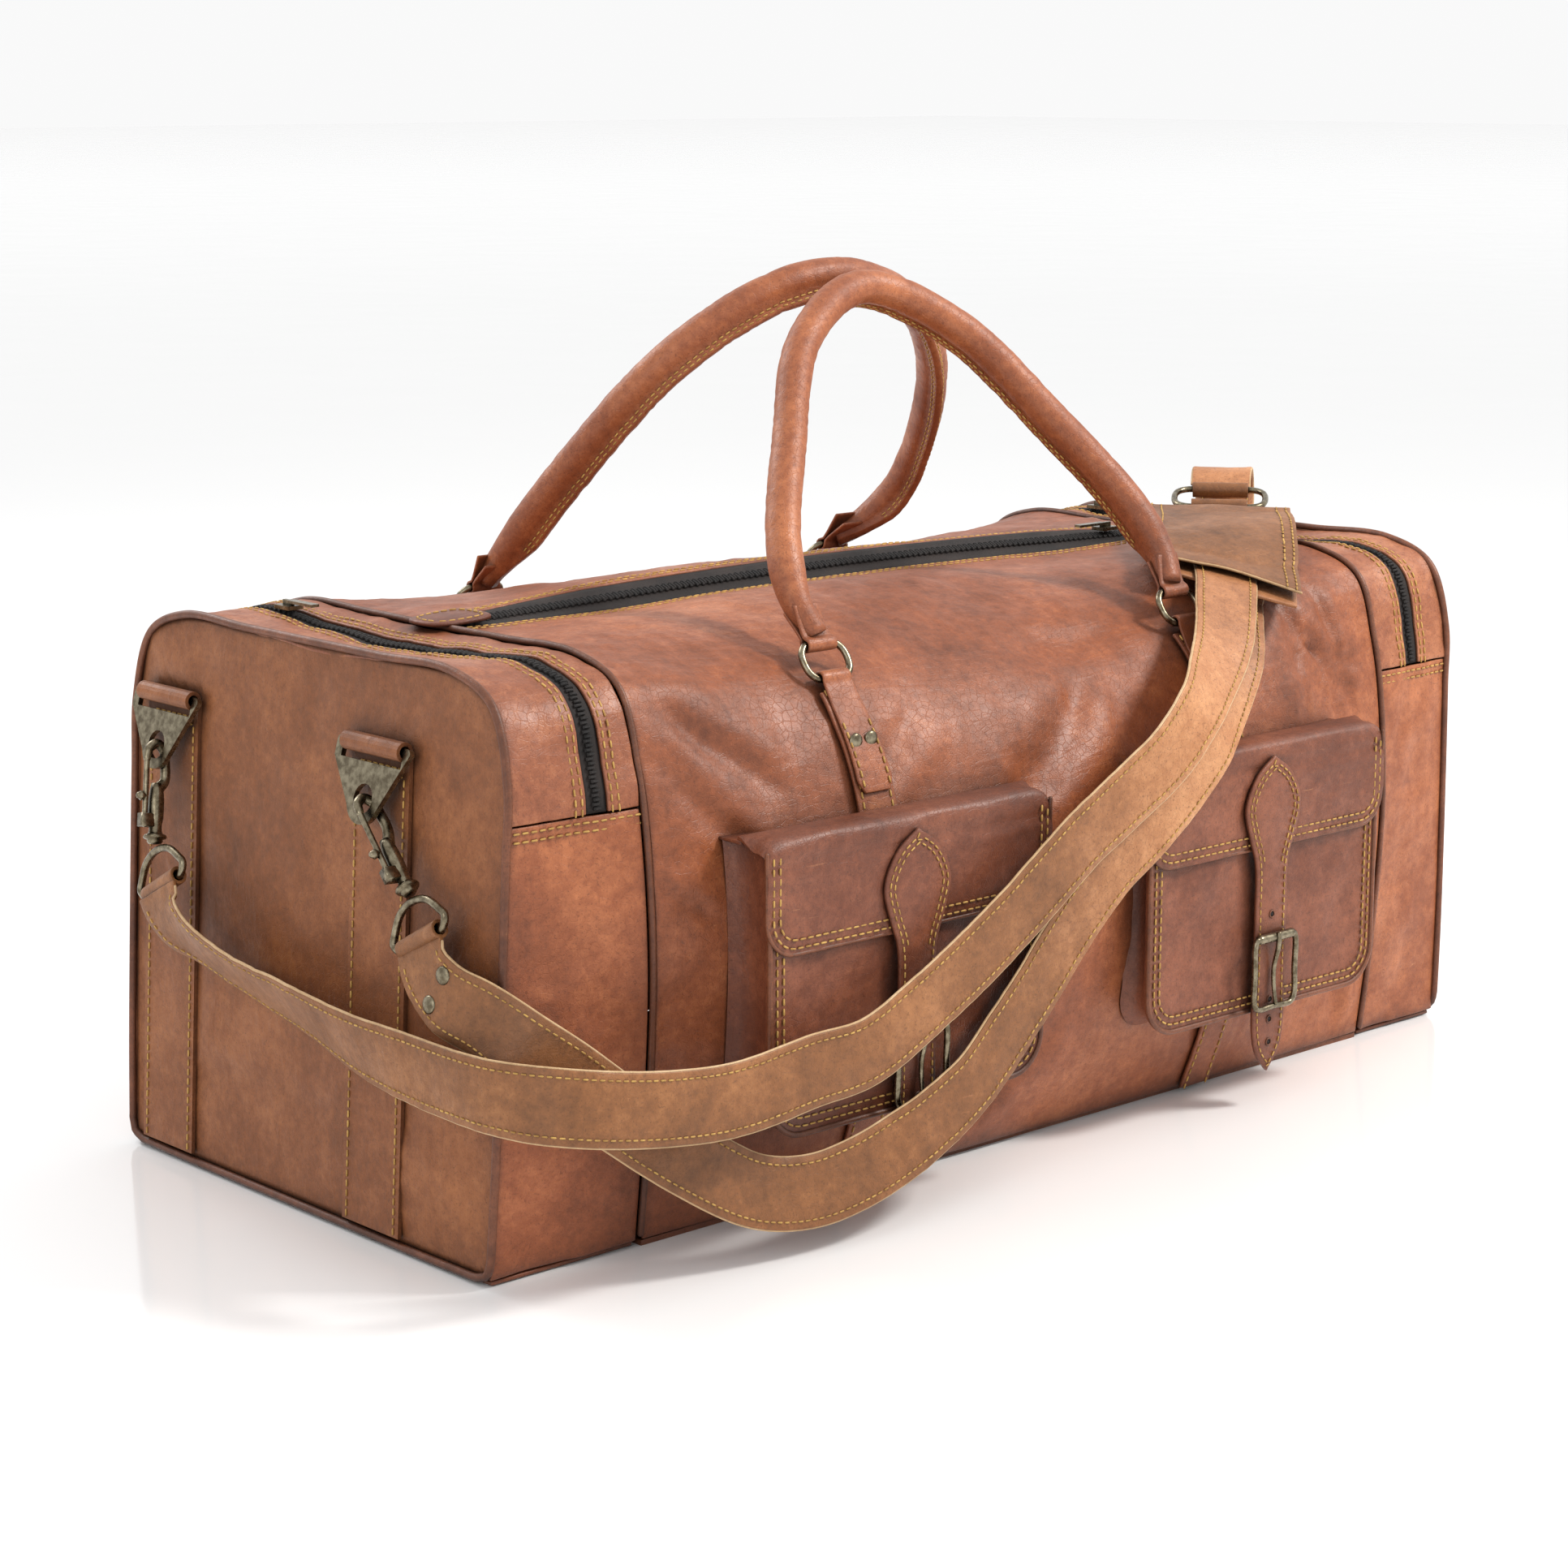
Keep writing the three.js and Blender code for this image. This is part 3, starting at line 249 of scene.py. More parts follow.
def shell(name, grid, thickness, material, closed=False, rim=0.7, **facts):
    """A sheet of leather: a grid of points on its outer face, thickened inwards, with softened cut edges."""
    rows, columns = grid.shape[:2]
    normals = normals_of(grid, closed)
    if thickness < 0:
        normals, thickness = -normals, -thickness
    inner = grid - normals * thickness
    points = np.concatenate([grid.reshape(-1, 3), inner.reshape(-1, 3)])
    size = rows * columns
    faces = quads(rows, columns, closed)
    faces += [tuple(i + size for i in f[::-1]) for f in faces]
    sides = [[i * columns for i in range(rows)], [i * columns + columns - 1 for i in range(rows)]]
    if not closed:
        sides += [list(range(columns)), [size - columns + j for j in range(columns)]]
    for line in sides:
        pairs = list(zip(line[:-1], line[1:]))
        if closed:
            pairs.append((line[-1], line[0]))
        faces += [(a, b, b + size, a + size) for a, b in pairs]
    obj = piece(name, points, faces, material, **facts)
    if rim:
        bevel = obj.modifiers.new("rim", "BEVEL")
        bevel.width, bevel.segments = rim * MM, 2
        bevel.limit_method, bevel.angle_limit = "ANGLE", math.radians(55)
    return obj


def outward(grid, normals):
    """1 where a grid's own direction agrees with its outward normals, else -1."""
    return 1 if np.cross(grid[1, 0] - grid[0, 0], grid[0, 1] - grid[0, 0]).dot(normals[0, 0]) > 0 else -1


def frames_along(path, closed=False):
    """Tangents and two cross directions along a path, carried with the least turning."""
    path = np.asarray(path, float)
    if closed:
        tangent = np.roll(path, -1, axis=0) - np.roll(path, 1, axis=0)
    else:
        tangent = np.gradient(path, axis=0)
    tangent /= np.linalg.norm(tangent, axis=1, keepdims=True)
    first = np.cross(tangent[0], (0.3, 0.5, 0.81))
    side = [first / np.linalg.norm(first)]
    for t in tangent[1:]:
        s = side[-1] - t * side[-1].dot(t)
        side.append(s / np.linalg.norm(s))
    side = np.array(side)
    if closed:
        gap = side[-1] - tangent[0] * side[-1].dot(tangent[0])
        gap /= np.linalg.norm(gap)
        angle = math.atan2(np.cross(side[0], gap).dot(tangent[0]), side[0].dot(gap))
        for i, t in enumerate(tangent):
            side[i] = np.array(Matrix.Rotation(-angle * i / len(path), 3, Vector(t)) @ Vector(side[i]))
    return tangent, side, np.cross(tangent, side)


def tube_parts(path, radius, sides=10, closed=False):
    """Points and faces of a round tube with domed ends; radius is a number or one per point."""
    path = np.asarray(path, float)
    radius = np.broadcast_to(radius, len(path)).astype(float)
    tangent, side, other = frames_along(path, closed)
    if not closed:
        dome = [(-0.85, 0.5), (-0.5, 0.87)]
        lead = [(path[0] + tangent[0] * a * radius[0], radius[0] * b) for a, b in dome]
        tail = [(path[-1] - tangent[-1] * a * radius[-1], radius[-1] * b) for a, b in reversed(dome)]
        path = np.array([p for p, _ in lead] + list(path) + [p for p, _ in tail])
        radius = np.array([r for _, r in lead] + list(radius) + [r for _, r in tail])
        side = np.concatenate([side[:1], side[:1], side, side[-1:], side[-1:]])
        other = np.concatenate([other[:1], other[:1], other, other[-1:], other[-1:]])
    angles = turns(sides)
    ring = side[:, None] * np.cos(angles)[None, :, None] + other[:, None] * np.sin(angles)[None, :, None]
    points = (path[:, None] + ring * radius[:, None, None]).reshape(-1, 3)
    faces = quads(len(path), sides, closed, True)
    if not closed:
        faces += [tuple(range(sides))[::-1], tuple(len(points) - sides + k for k in range(sides))]
    return points, faces


def joined(parts):
    """Several (points, faces) as one."""
    points, faces, start = [], [], 0
    for p, f in parts:
        points.append(np.asarray(p))
        faces += [tuple(i + start for i in face) for face in f]
        start += len(p)
    return np.concatenate(points), faces


def tube(name, path, radius, material, sides=10, closed=False, **facts):
    points, faces = tube_parts(path, radius, sides, closed)
    return piece(name, points, faces, material, **facts)


def slab_parts(outline, y0, y1, bevel=0.8):
    """An upright plate from an outline of (x, z): front face at y0, back at y1, with softened edges."""
    outline = np.asarray(outline, float)
    ahead, behind = np.roll(outline, -1, axis=0), np.roll(outline, 1, axis=0)
    along = ahead - behind
    along /= np.linalg.norm(along, axis=1, keepdims=True)
    out = np.stack([along[:, 1], -along[:, 0]], axis=1)
    area = (outline[:, 0] * ahead[:, 1] - ahead[:, 0] * outline[:, 1]).sum()
    if area < 0:
        out = -out
    step = 1 if y1 > y0 else -1
    bevel = min(bevel, abs(y1 - y0) * 0.45)
    levels = [(y0, bevel), (y0 + step * bevel * 0.35, bevel * 0.35), (y0 + step * bevel, 0), (y1, 0)]
    rings = []
    for y, inset in levels:
        rings.append(upright(outline - out * inset, y))
    count = len(outline)
    points = np.concatenate(rings)
    faces = quads(len(rings), count, False, True)
    faces += [tuple(range(count)), tuple(len(points) - count + k for k in range(count))[::-1]]
    return points, faces


def moved(points, matrix):
    """Points carried by a 4 x 4 matrix."""
    m = np.array(matrix)
    return np.asarray(points) @ m[:3, :3].T + m[:3, 3]


# ---- Materials -----------------------------------------------------------------------------------
def rgb(r, g, b):
    """A linear colour from 0-255 screen values."""
    linear = [((c / 255 + 0.055) / 1.055) ** 2.4 if c > 10 else c / 255 / 12.92 for c in (r, g, b)]
    return tuple(linear) + (1.0,)


class Nodes:
    """A short way to write a node material."""

    def __init__(self, name):
        self.material = bpy.data.materials.new(name)
        self.material.use_nodes = True
        self.tree = self.material.node_tree
        self.shader = self.tree.nodes["Principled BSDF"]
        self.place = self.new("ShaderNodeTexCoord").outputs["Object"]

    def new(self, kind, **values):
        node = self.tree.nodes.new(kind)
        for key, value in values.items():
            if hasattr(node, key):
                setattr(node, key, value)
            else:
                node.inputs[key.replace("_", " ")].default_value = value
        return node

    def link(self, a, b):
        self.tree.links.new(a, b)

    def stretched(self, turn, scale):
        node = self.new("ShaderNodeMapping")
        node.inputs["Rotation"].default_value = turn
        node.inputs["Scale"].default_value = scale
        self.link(self.place, node.inputs["Vector"])
        return node.outputs[0]

    def noise(self, scale, detail=4, rough=0.55, distortion=0.0, vector=None, kind="FBM"):
        node = self.new(
            "ShaderNodeTexNoise", Scale=scale, Detail=detail, Roughness=rough, Distortion=distortion)
        node.noise_type = kind
        self.link(vector or self.place, node.inputs["Vector"])
        return node.outputs["Fac"]

    def cells(self, scale, feature="DISTANCE_TO_EDGE", vector=None):
        node = self.new("ShaderNodeTexVoronoi", Scale=scale)
        node.feature = feature
        self.link(vector or self.place, node.inputs["Vector"])
        return node.outputs["Distance"]

    def ramp(self, value, stops):
        node = self.new("ShaderNodeValToRGB")
        while len(node.color_ramp.elements) < len(stops):
            node.color_ramp.elements.new(0.5)
        for element, (where, colour) in zip(node.color_ramp.elements, stops):
            element.position = where
            element.color = colour if isinstance(colour, tuple) else (colour, colour, colour, 1)
        self.link(value, node.inputs["Fac"])
        return node.outputs["Color"]

    def math(self, kind, a, b):
        node = self.new("ShaderNodeMath")
        node.operation = kind
        for socket, value in zip(node.inputs, (a, b)):
            if isinstance(value, (int, float)):
                socket.default_value = value
            else:
                self.link(value, socket)
        return node.outputs[0]

    def mix(self, share, a, b, kind="MIX"):
        node = self.new("ShaderNodeMix")
        node.data_type, node.blend_type = "RGBA", kind
        for socket, value in ((node.inputs["Factor"], share), (node.inputs["A"], a), (node.inputs["B"], b)):
            if isinstance(value, (int, float, tuple)):
                socket.default_value = value
            else:
                self.link(value, socket)
        return node.outputs["Result"]

    def bumps(self, *layers):
        """Bump from (height, strength, depth in mm) layers, finest last."""
        normal = None
        for height, strength, depth in layers:
            node = self.new("ShaderNodeBump", Strength=strength, Distance=depth * MM)
            self.link(height, node.inputs["Height"])
            if normal:
                self.link(normal, node.inputs["Normal"])
            normal = node.outputs["Normal"]
        self.link(normal, self.shader.inputs["Normal"])


def leather(name, deep, mid, light, wrinkle=1.0, gloss=0.46, marks=1.0, crevice=16, painted_lit_shades=None):
    """Waxed pull-up leather: mottled, with a net of pale creases, hairline scratches and pebbled grain."""
    n = Nodes(name)
    broad = n.noise(5, 4, 0.6)
    patches = n.noise(26, 9, 0.74)
    fine = n.noise(170, 5, 0.7)
    blend = n.math("ADD", n.math("MULTIPLY", broad, 0.45), n.math("MULTIPLY", patches, 0.30))
    blend = n.math("ADD", blend, n.math("MULTIPLY", fine, 0.25))
    stops = (0.36, 0.50, 0.64)
    body = n.ramp(blend, list(zip(stops, (deep, mid, light))))
    if painted_lit_shades:
        # Painted light: a strap's leather is given the paler, lit colours towards its right end (larger x),
        # where it rises over the bag's top.
        split = n.new("ShaderNodeSeparateXYZ")
        n.link(n.place, split.inputs[0])
        share = n.math("ADD", split.outputs[0], n.math("MULTIPLY", patches, 0.12))
        ramp = n.ramp(share, [(0.0, 0.0), (0.14, 1.0)])
        body = n.mix(ramp, body, n.ramp(blend, list(zip(stops, painted_lit_shades))))
    # Long diagonal creases and short crossing ones, pale where the wax has cracked.
    bent = n.noise(9, 3, 0.5)
    ridged = "RIDGED_MULTIFRACTAL"
    long_lines = n.noise(1, 7, 0.72, 0.5, n.stretched((0.5, 0.75, 0.5), (22, 150, 75)), ridged)
    cross_lines = n.noise(1, 7, 0.72, 0.6, n.stretched((-0.4, -0.9, 0.3), (30, 240, 120)), ridged)
    net = n.cells(210)
    long_mark = n.ramp(long_lines, [(0.72, 0.0), (11 / 12, 1.0)])
    cross_mark = n.ramp(cross_lines, [(0.74, 0.0), (0.95, 1.0)])
    net_mark = n.ramp(net, [(0.0, 1.0), (0.05, 0.0)])
    worn = n.ramp(bent, [(0.40, 0.15), (0.60, 1.0)])
    colour = n.mix(n.math("MULTIPLY", n.math("MULTIPLY", long_mark, worn), 0.34 * marks), body, light)
    colour = n.mix(n.math("MULTIPLY", n.math("MULTIPLY", cross_mark, worn), 0.30 * marks), colour, light)
    colour = n.mix(n.math("MULTIPLY", n.math("MULTIPLY", net_mark, worn), 0.22 * marks), colour, deep)
    scratch = n.noise(1, 4, 0.6, 0.8, n.stretched((1.1, 0.2, 0.9), (40, 1500, 500)))
    scratch_mark = n.math("MULTIPLY", n.ramp(scratch, [(0.66, 0.0), (0.74, 1.0)]), worn)
    colour = n.mix(n.math("MULTIPLY", scratch_mark, 0.42 * marks), colour, rgb(214, 150, 104))
    specks = n.ramp(n.noise(800, 2, 0.5), [(0.30, 1.0), (0.42, 0.0)])
    colour = n.mix(n.math("MULTIPLY", specks, 0.5), colour, deep)
    # Painted shade: where ambient occlusion finds creases, seams and places under straps, the colour is
    # darkened towards near-black.
    hollow = n.new("ShaderNodeAmbientOcclusion", Distance=crevice * MM, samples=6)
    shade = n.ramp(hollow.outputs["AO"], [(0.30, 0.0), (0.95, 1.0)])
    painted_shade_colour = n.mix(0.72, colour, tuple(c * 0.16 for c in deep[:3]) + (1.0,))
    colour = n.mix(shade, painted_shade_colour, colour)
    n.link(colour, n.shader.inputs["Base Color"])
    rough = n.ramp(patches, [(0.35, gloss + 0.10), (0.65, gloss - 0.06)])
    n.link(rough, n.shader.inputs["Roughness"])
    n.shader.inputs["Specular IOR Level"].default_value = 0.5
    n.bumps(
        (n.noise(16, 3, 0.5), 0.25, 2.0 * wrinkle),
        (long_lines, 0.45, 0.8 * wrinkle),
        (cross_lines, 0.45, 0.55 * wrinkle),
        (net_mark, 0.35, -0.25 * wrinkle),
        (n.cells(700), 0.5, 0.28),
        (n.noise(1600, 2, 0.5), 0.3, 0.12),
    )
    return n.material


def metal(name, deep, light):
    """Antique brass: dark in the hollows, rubbed bright on the edges."""
    n = Nodes(name)
    stain = n.noise(220, 5, 0.6)
    colour = n.ramp(stain, [(0.38, deep), (0.62, light)])
    hollow = n.new("ShaderNodeAmbientOcclusion", Distance=4 * MM, samples=6)
    shade = n.ramp(hollow.outputs["AO"], [(0.35, 0.0), (0.9, 1.0)])
    colour = n.mix(shade, tuple(c * 0.25 for c in deep[:3]) + (1.0,), colour)
    n.link(colour, n.shader.inputs["Base Color"])
    n.link(n.ramp(n.noise(420, 3, 0.6), [(0.3, 0.36), (0.7, 0.22)]), n.shader.inputs["Roughness"])
    n.shader.inputs["Metallic"].default_value = 1.0
    n.bumps((n.noise(900, 3, 0.5), 0.06, 0.15),)
    return n.material


def thread(name, dark, pale):
    """Waxed thread with a fine twist."""
    n = Nodes(name)
    n.link(n.ramp(n.noise(120, 4, 0.6), [(0.35, dark), (0.65, pale)]), n.shader.inputs["Base Color"])
    n.shader.inputs["Roughness"].default_value = 0.62
    wave = n.new("ShaderNodeTexWave", Scale=900, Distortion=1.0)
    n.link(n.stretched((0.5, 0.6, 0.3), (1, 1, 1)), wave.inputs["Vector"])
    n.bumps((wave.outputs["Fac"], 0.4, 0.15))
    return n.material


def cloth(name, dark, pale, scale=900):
    """Woven tape; scale sets how fine the ribs are."""
    n = Nodes(name)
    n.link(n.ramp(n.noise(60, 5, 0.6), [(0.35, dark), (0.7, pale)]), n.shader.inputs["Base Color"])
    n.shader.inputs["Roughness"].default_value = 0.75
    wave = n.new("ShaderNodeTexWave", Scale=scale, Distortion=0.4)
    n.link(n.place, wave.inputs["Vector"])
    n.bumps((wave.outputs["Fac"], 0.5, 0.2), (n.noise(1200, 2, 0.5), 0.3, 0.1))
    return n.material


TAN = leather("tan leather", rgb(98, 50, 27), rgb(146, 80, 46), rgb(190, 116, 72))
TAN_TOP = leather("tan leather, gussets", rgb(98, 52, 32), rgb(146, 84, 54), rgb(192, 124, 84))
TAN_END = leather(
    "tan leather, ends", rgb(92, 52, 26), rgb(128, 74, 38), rgb(164, 102, 58), gloss=0.54, marks=0.6)
BROWN = leather("red brown leather", rgb(76, 38, 24), rgb(112, 60, 38), rgb(150, 88, 60), marks=0.7)
# The paler set is painted light on the straps' right ends, and the colour of the shoulder pad's back layer.
STRAP_SHADES = rgb(92, 56, 28), rgb(136, 86, 46), rgb(178, 120, 72)
PALER_SHADES = rgb(140, 88, 52), rgb(182, 122, 78), rgb(214, 156, 108)
OLIVE = leather("strap leather", *STRAP_SHADES, wrinkle=0.7, marks=1.1)
STRAP_MIX = leather("strap leather, long", *STRAP_SHADES, wrinkle=0.8, marks=1.1, painted_lit_shades=PALER_SHADES)
PALE = leather("strap leather, light", *PALER_SHADES, wrinkle=0.8, marks=1.3)
PIPE = leather("dark piping", rgb(66, 34, 20), rgb(104, 58, 34), rgb(142, 84, 54), wrinkle=0.5)
RAW = leather("raw edge", rgb(160, 124, 86), rgb(198, 164, 122), rgb(222, 194, 156), wrinkle=0.3, gloss=0.7)
BRASS = metal("antique brass", rgb(100, 90, 72), rgb(148, 138, 116))
GOLD = thread("golden thread", rgb(158, 116, 54), rgb(206, 164, 88))
TAPE = cloth("zip tape", rgb(24, 18, 16), rgb(44, 34, 30))
COIL = cloth("zip coil", rgb(14, 12, 12), rgb(38, 32, 30), 2400)
BOARD = cloth("lined board", rgb(96, 80, 60), rgb(132, 112, 84))


# ---- Stitching -----------------------------------------------------------------------------------
class Stitching:
    """Rows of short stitches, gathered per body and made as one piece each."""

    rows = {}

    @classmethod
    def add(cls, path, body="bag", length=3.9, gap=1.5, radius=0.62, lift=0.15, normal=None):
        path = np.asarray(path, float)
        marks = even(path, (length + gap) / 2)
        normals = None if normal is None else np.broadcast_to(normal, marks.shape)
        for i in range(0, len(marks) - 1, 2):
            a, b = marks[i], marks[i + 1]
            centre, along = (a + b) / 2, b - a
            size = np.linalg.norm(along)
            if size < 0.2:
                continue
            along = along / size
            up = normals[i] if normals is not None else np.array([0.0, -0.6, 0.8])
            across = np.cross(along, up)
            if np.linalg.norm(across) < 1e-3:
                continue
            across /= np.linalg.norm(across)
            up = np.cross(across, along)
            half = length / 2
            ring = []
            for t, r in ((-1, 0.35), (-0.7, 0.95), (0.7, 0.95), (1, 0.35)):
                for k in range(5):
                    angle = 2 * math.pi * k / 5
                    round_it = across * math.cos(angle) + up * math.sin(angle)
                    ring.append(centre + along * t * half + radius * r * round_it + up * lift)
            faces = quads(4, 5, False, True) + [(4, 3, 2, 1, 0), (15, 16, 17, 18, 19)]
            cls.rows.setdefault(body, []).append((ring, faces))

    @classmethod
    def make(cls):
        for body, parts in cls.rows.items():
            points, faces = joined(parts)
            piece(f"stitching_{body}", points, faces, GOLD, body, slot="strap_leather")


# ---- Main compartment ----------------------------------------------------------------------------
FOLDS = [
    # from (x, z), to (x, z), width, depth, of soft folds in the front panel
    ((-262, 282), (-205, 240), 13, 4.5),
    ((-268, 250), (-215, 190), 12, 3.2),
    ((-285, 200), (-252, 176), 7, 2.6),
    ((40, 262), (-40, 206), 20, 5.5),
    ((10, 282), (96, 290), 16, 3.5),
    ((228, 286), (262, 238), 9, 3.6),
    ((262, 284), (276, 226), 8, 3.2),
    ((246, 262), (290, 248), 7, 2.4),
    ((-95, 262), (-150, 226), 12, 2.6),
    ((-10, 70), (-60, 20), 14, 2.8),
    ((268, 60), (282, 12), 10, 2.6),
]


def dented(grid, face):
    """How far each point of a main panel moves along its normal, for the sag and creases of soft leather."""
    flat = grid.reshape(-1, 3)
    x, z = flat[:, 0], flat[:, 2]
    push = 2.8 * fbm(flat, 150, 2, 3.1) + 0.8 * fbm(flat, 45, 3, 9.7)
    ridge = 1 - np.abs(fbm(flat * np.array([1.0, 0.7, 0.45]), 30, 2, 5.5)) * 2.2
    push += 0.5 * np.clip(ridge, 0, 1) ** 3
    for seam in (SEAM_LEFT, SEAM_RIGHT):
        away = np.abs(x - seam)
        pucker = fbm(flat * np.array([0.25, 1.0, 1.0]), 13, 2, 1.7)
        push += 2.2 * pucker * np.exp(-away / 16) - 1.0 * np.exp(-away / 7)
    push -= 5 * np.exp(-(((x - 150) / 70) ** 2) - ((np.abs(flat[:, 1]) - 45) / 45) ** 2)
    crumple = np.exp(-(((x - 246) / 30) ** 2) - ((z - 252) / 36) ** 2)
    push -= 7.0 * np.abs(fbm(flat * np.array([1.0, 0.6, 0.5]), 20, 2, 12.0)) * crumple
    if face < 0:
        depth_line = z + np.clip(-150 - flat[:, 1], -60, 0) * -0.35
        for (x0, z0), (x1, z1), width, depth in FOLDS:
            d = np.array([x1 - x0, z1 - z0], float)
            size = np.linalg.norm(d)
            d /= size
            along = (x - x0) * d[0] + (depth_line - z0) * d[1]
            off = -(x - x0) * d[1] + (depth_line - z0) * d[0]
            off += 5 * fbm(flat, 45, 2, x0)
            fade = np.exp(-(np.clip(np.abs(along - size / 2) - size * 0.3, 0, None) / (size * 0.28)) ** 2)
            swell = 0.55 * np.exp(-(((off - width) / width) ** 2))
            push += fade * depth * (swell - np.exp(-((off / (width * 0.6)) ** 2)))
    return push.reshape(grid.shape[:2])


def panel_grid(face):
    """A main panel's outer face: rows along X, columns from the base up to the zip."""
    xs = np.linspace(SEAM_LEFT + SEAM_GAP, SEAM_RIGHT - SEAM_GAP, 200)
    return np.array([Skin.run(x, face, low=3.5, edge=MAIN_ZIP_HALF + 0.2, count=110) for x in xs])


# The front lip of the main zip sinks and the back lip stands up.
LIP_DROP, LIP_RISE = 6.0, 3.5
panels = {}
for side, face in (("front", -1), ("back", 1)):
    grid = panel_grid(face)
    normals = normals_facing(grid, (100, 20), 1, face)
    push = dented(grid, face)
    rows = np.linspace(0, 1, grid.shape[1])
    rim = np.clip(np.minimum(rows, 1 - rows) / 0.05, 0, 1)[None, :]
    columns = np.linspace(0, 1, grid.shape[0])
    end_rim = np.clip(np.minimum(columns, 1 - columns) / 0.012, 0, 1)[:, None]
    grid = grid + normals * (push * (0.15 + 0.85 * rim) * end_rim - 0.4)[..., None]
    near_zip = np.exp(-((np.abs(grid[..., 1]) - MAIN_ZIP_HALF) / 34) ** 2) * (grid[..., 2] > 270)
    along_zip = np.clip(fullness(grid[..., 0]) * 1.6, 0, 1)
    grid[..., 2] += near_zip * along_zip * (-LIP_DROP if face < 0 else LIP_RISE)
    panels[side] = grid
    shell(f"{side}_panel_leather", grid, outward(grid, normals) * LEATHER, TAN, slot="leather",
          replaces=(f"{side}_panel",))


def panel_path(side, x0, x1, row_from_top):
    """A line along a main panel, some distance below its zip edge."""
    grid = panels[side]
    xs = grid[:, 0, 0]
    keep = (xs >= x0) & (xs <= x1)
    rows = []
    for column in grid[keep]:
        run = np.concatenate([[0], np.cumsum(np.linalg.norm(np.diff(column[::-1], axis=0), axis=1))])
        rows.append([np.interp(row_from_top, run, column[::-1][:, k]) for k in range(3)])
    return np.array(rows)


for side in ("front", "back"):
    for inset in (3.2, 8.2):
        Stitching.add(panel_path(side, -286, 304, inset), normal=(0, 0, 1))


def teeth_parts(path, normal, width=5.2, pitch=2.3):
    """A row of zip teeth along a path."""
    marks = even(path, pitch)
    parts = []
    for i, p in enumerate(marks[1:-1], 1):
        along = marks[i + 1] - marks[i - 1]
        along /= np.linalg.norm(along)
        up = normal(p) if callable(normal) else np.array(normal, float)
        across = np.cross(along, up)
        across /= np.linalg.norm(across)
        up = np.cross(across, along)
        shift = 0.55 if i % 2 else -0.55
        corners = []
        for level, grow in ((0, 1.0), (1.0, 1.0), (1.7, 0.62)):
            for a, b in ((-1, -1), (1, -1), (1, 1), (-1, 1)):
                sideways = across * (b * width * 0.5 * grow + shift)
                corners.append(p + along * a * pitch * 0.36 * grow + sideways + up * level)
        faces = quads(3, 4, False, True) + [(3, 2, 1, 0), (8, 9, 10, 11)]
        parts.append((corners, faces))
    return parts


def crown(x):
    """The top's height at x along the main zip."""
    return HEIGHT + 8 * fullness(x)


xs = np.linspace(MAIN_ZIP_LEFT + 0.5, MAIN_ZIP_RIGHT - 0.5, 120)


def zip_lift(x, y):
    """How far the zip's tape is carried up or down by its two lips."""
    share = (y + MAIN_ZIP_HALF) / (2 * MAIN_ZIP_HALF)
    return float(np.clip(fullness(x) * 1.6, 0, 1)) * (-LIP_DROP + (LIP_DROP + LIP_RISE) * share)


tape = np.array([
    [(x, y, crown(x) - 1.6 + zip_lift(x, y)) for y in np.linspace(-11.6, 11.6, 9)] for x in xs
])
shell("main_zip_tape", tape, 0.8, TAPE, slot="zip", replaces=("main_zip",), rim=0)
teeth_line = [(x, 0, crown(x) - 1.4 + zip_lift(x, 0)) for x in xs[2:-2]]
points, faces = joined(teeth_parts(teeth_line, (0, -0.35, 1), 6.4))
piece("main_zip_teeth", points, faces, COIL, slot="zip", smooth=False)
tab = [(-296, -13), (-262, -15), (-258, 0), (-262, 15), (-296, 13), (-300, 0)]
outline = spline(tab, True)(np.linspace(0, 1, 40, endpoint=False))
points, faces = slab_parts(outline, 0, LEATHER)
points = np.stack([points[:, 0], points[:, 2], crown(points[:, 0]) + 3.4 - points[:, 1]], axis=1)
piece("main_zip_end_tab", points, faces, BROWN, slot="dark_leather")
inset = (outline - outline.mean(axis=0)) * 0.8 + outline.mean(axis=0)
Stitching.add([(x, y, crown(x) + 3.5) for x, y in inset], normal=(0, 0, 1))


# ---- End pockets ---------------------------------------------------------------------------------
def gusset_grid(end, x_from, x_to, low, count_x, count_s):
    """A grid over the arch of an end pocket: rows along X, columns from the front round to the back."""
    rows = []
    for share in np.linspace(0, 1, count_x):
        front = Skin.run(x_from + (x_to - x_from) * share, -1, end, low=low, count=count_s)
        rows.append(np.concatenate([front, (front * [1, -1, 1])[::-1][1:]]))
    return np.array(rows)


def soften(grid, end):
    """The grid with small swells and a sag across its top, and its outward normals from before."""
    flat = grid.reshape(-1, 3)
    normals = normals_of(grid)
    if (normals.reshape(-1, 3) * (flat - [0, 0, 150])).sum() < 0:
        normals = -normals
    push = 1.6 * fbm(flat, 60, 3, 4.4) + 0.7 * fbm(flat, 20, 2, 8.8)
    sag = 7 * np.exp(-((flat[:, 1] / 95) ** 2)) * (flat[:, 2] > 280)
    middle = (end["seam"] + end_x(end, 300)) / 2
    sag *= np.exp(-(((flat[:, 0] - middle) / 34) ** 2))
    return grid + normals * (push - sag).reshape(grid.shape[:2])[..., None], normals


def edge_x(end, z):
    """Just inside the end panel, where a gusset stops."""
    return end_x(end, z) - end["side"] * 1.2


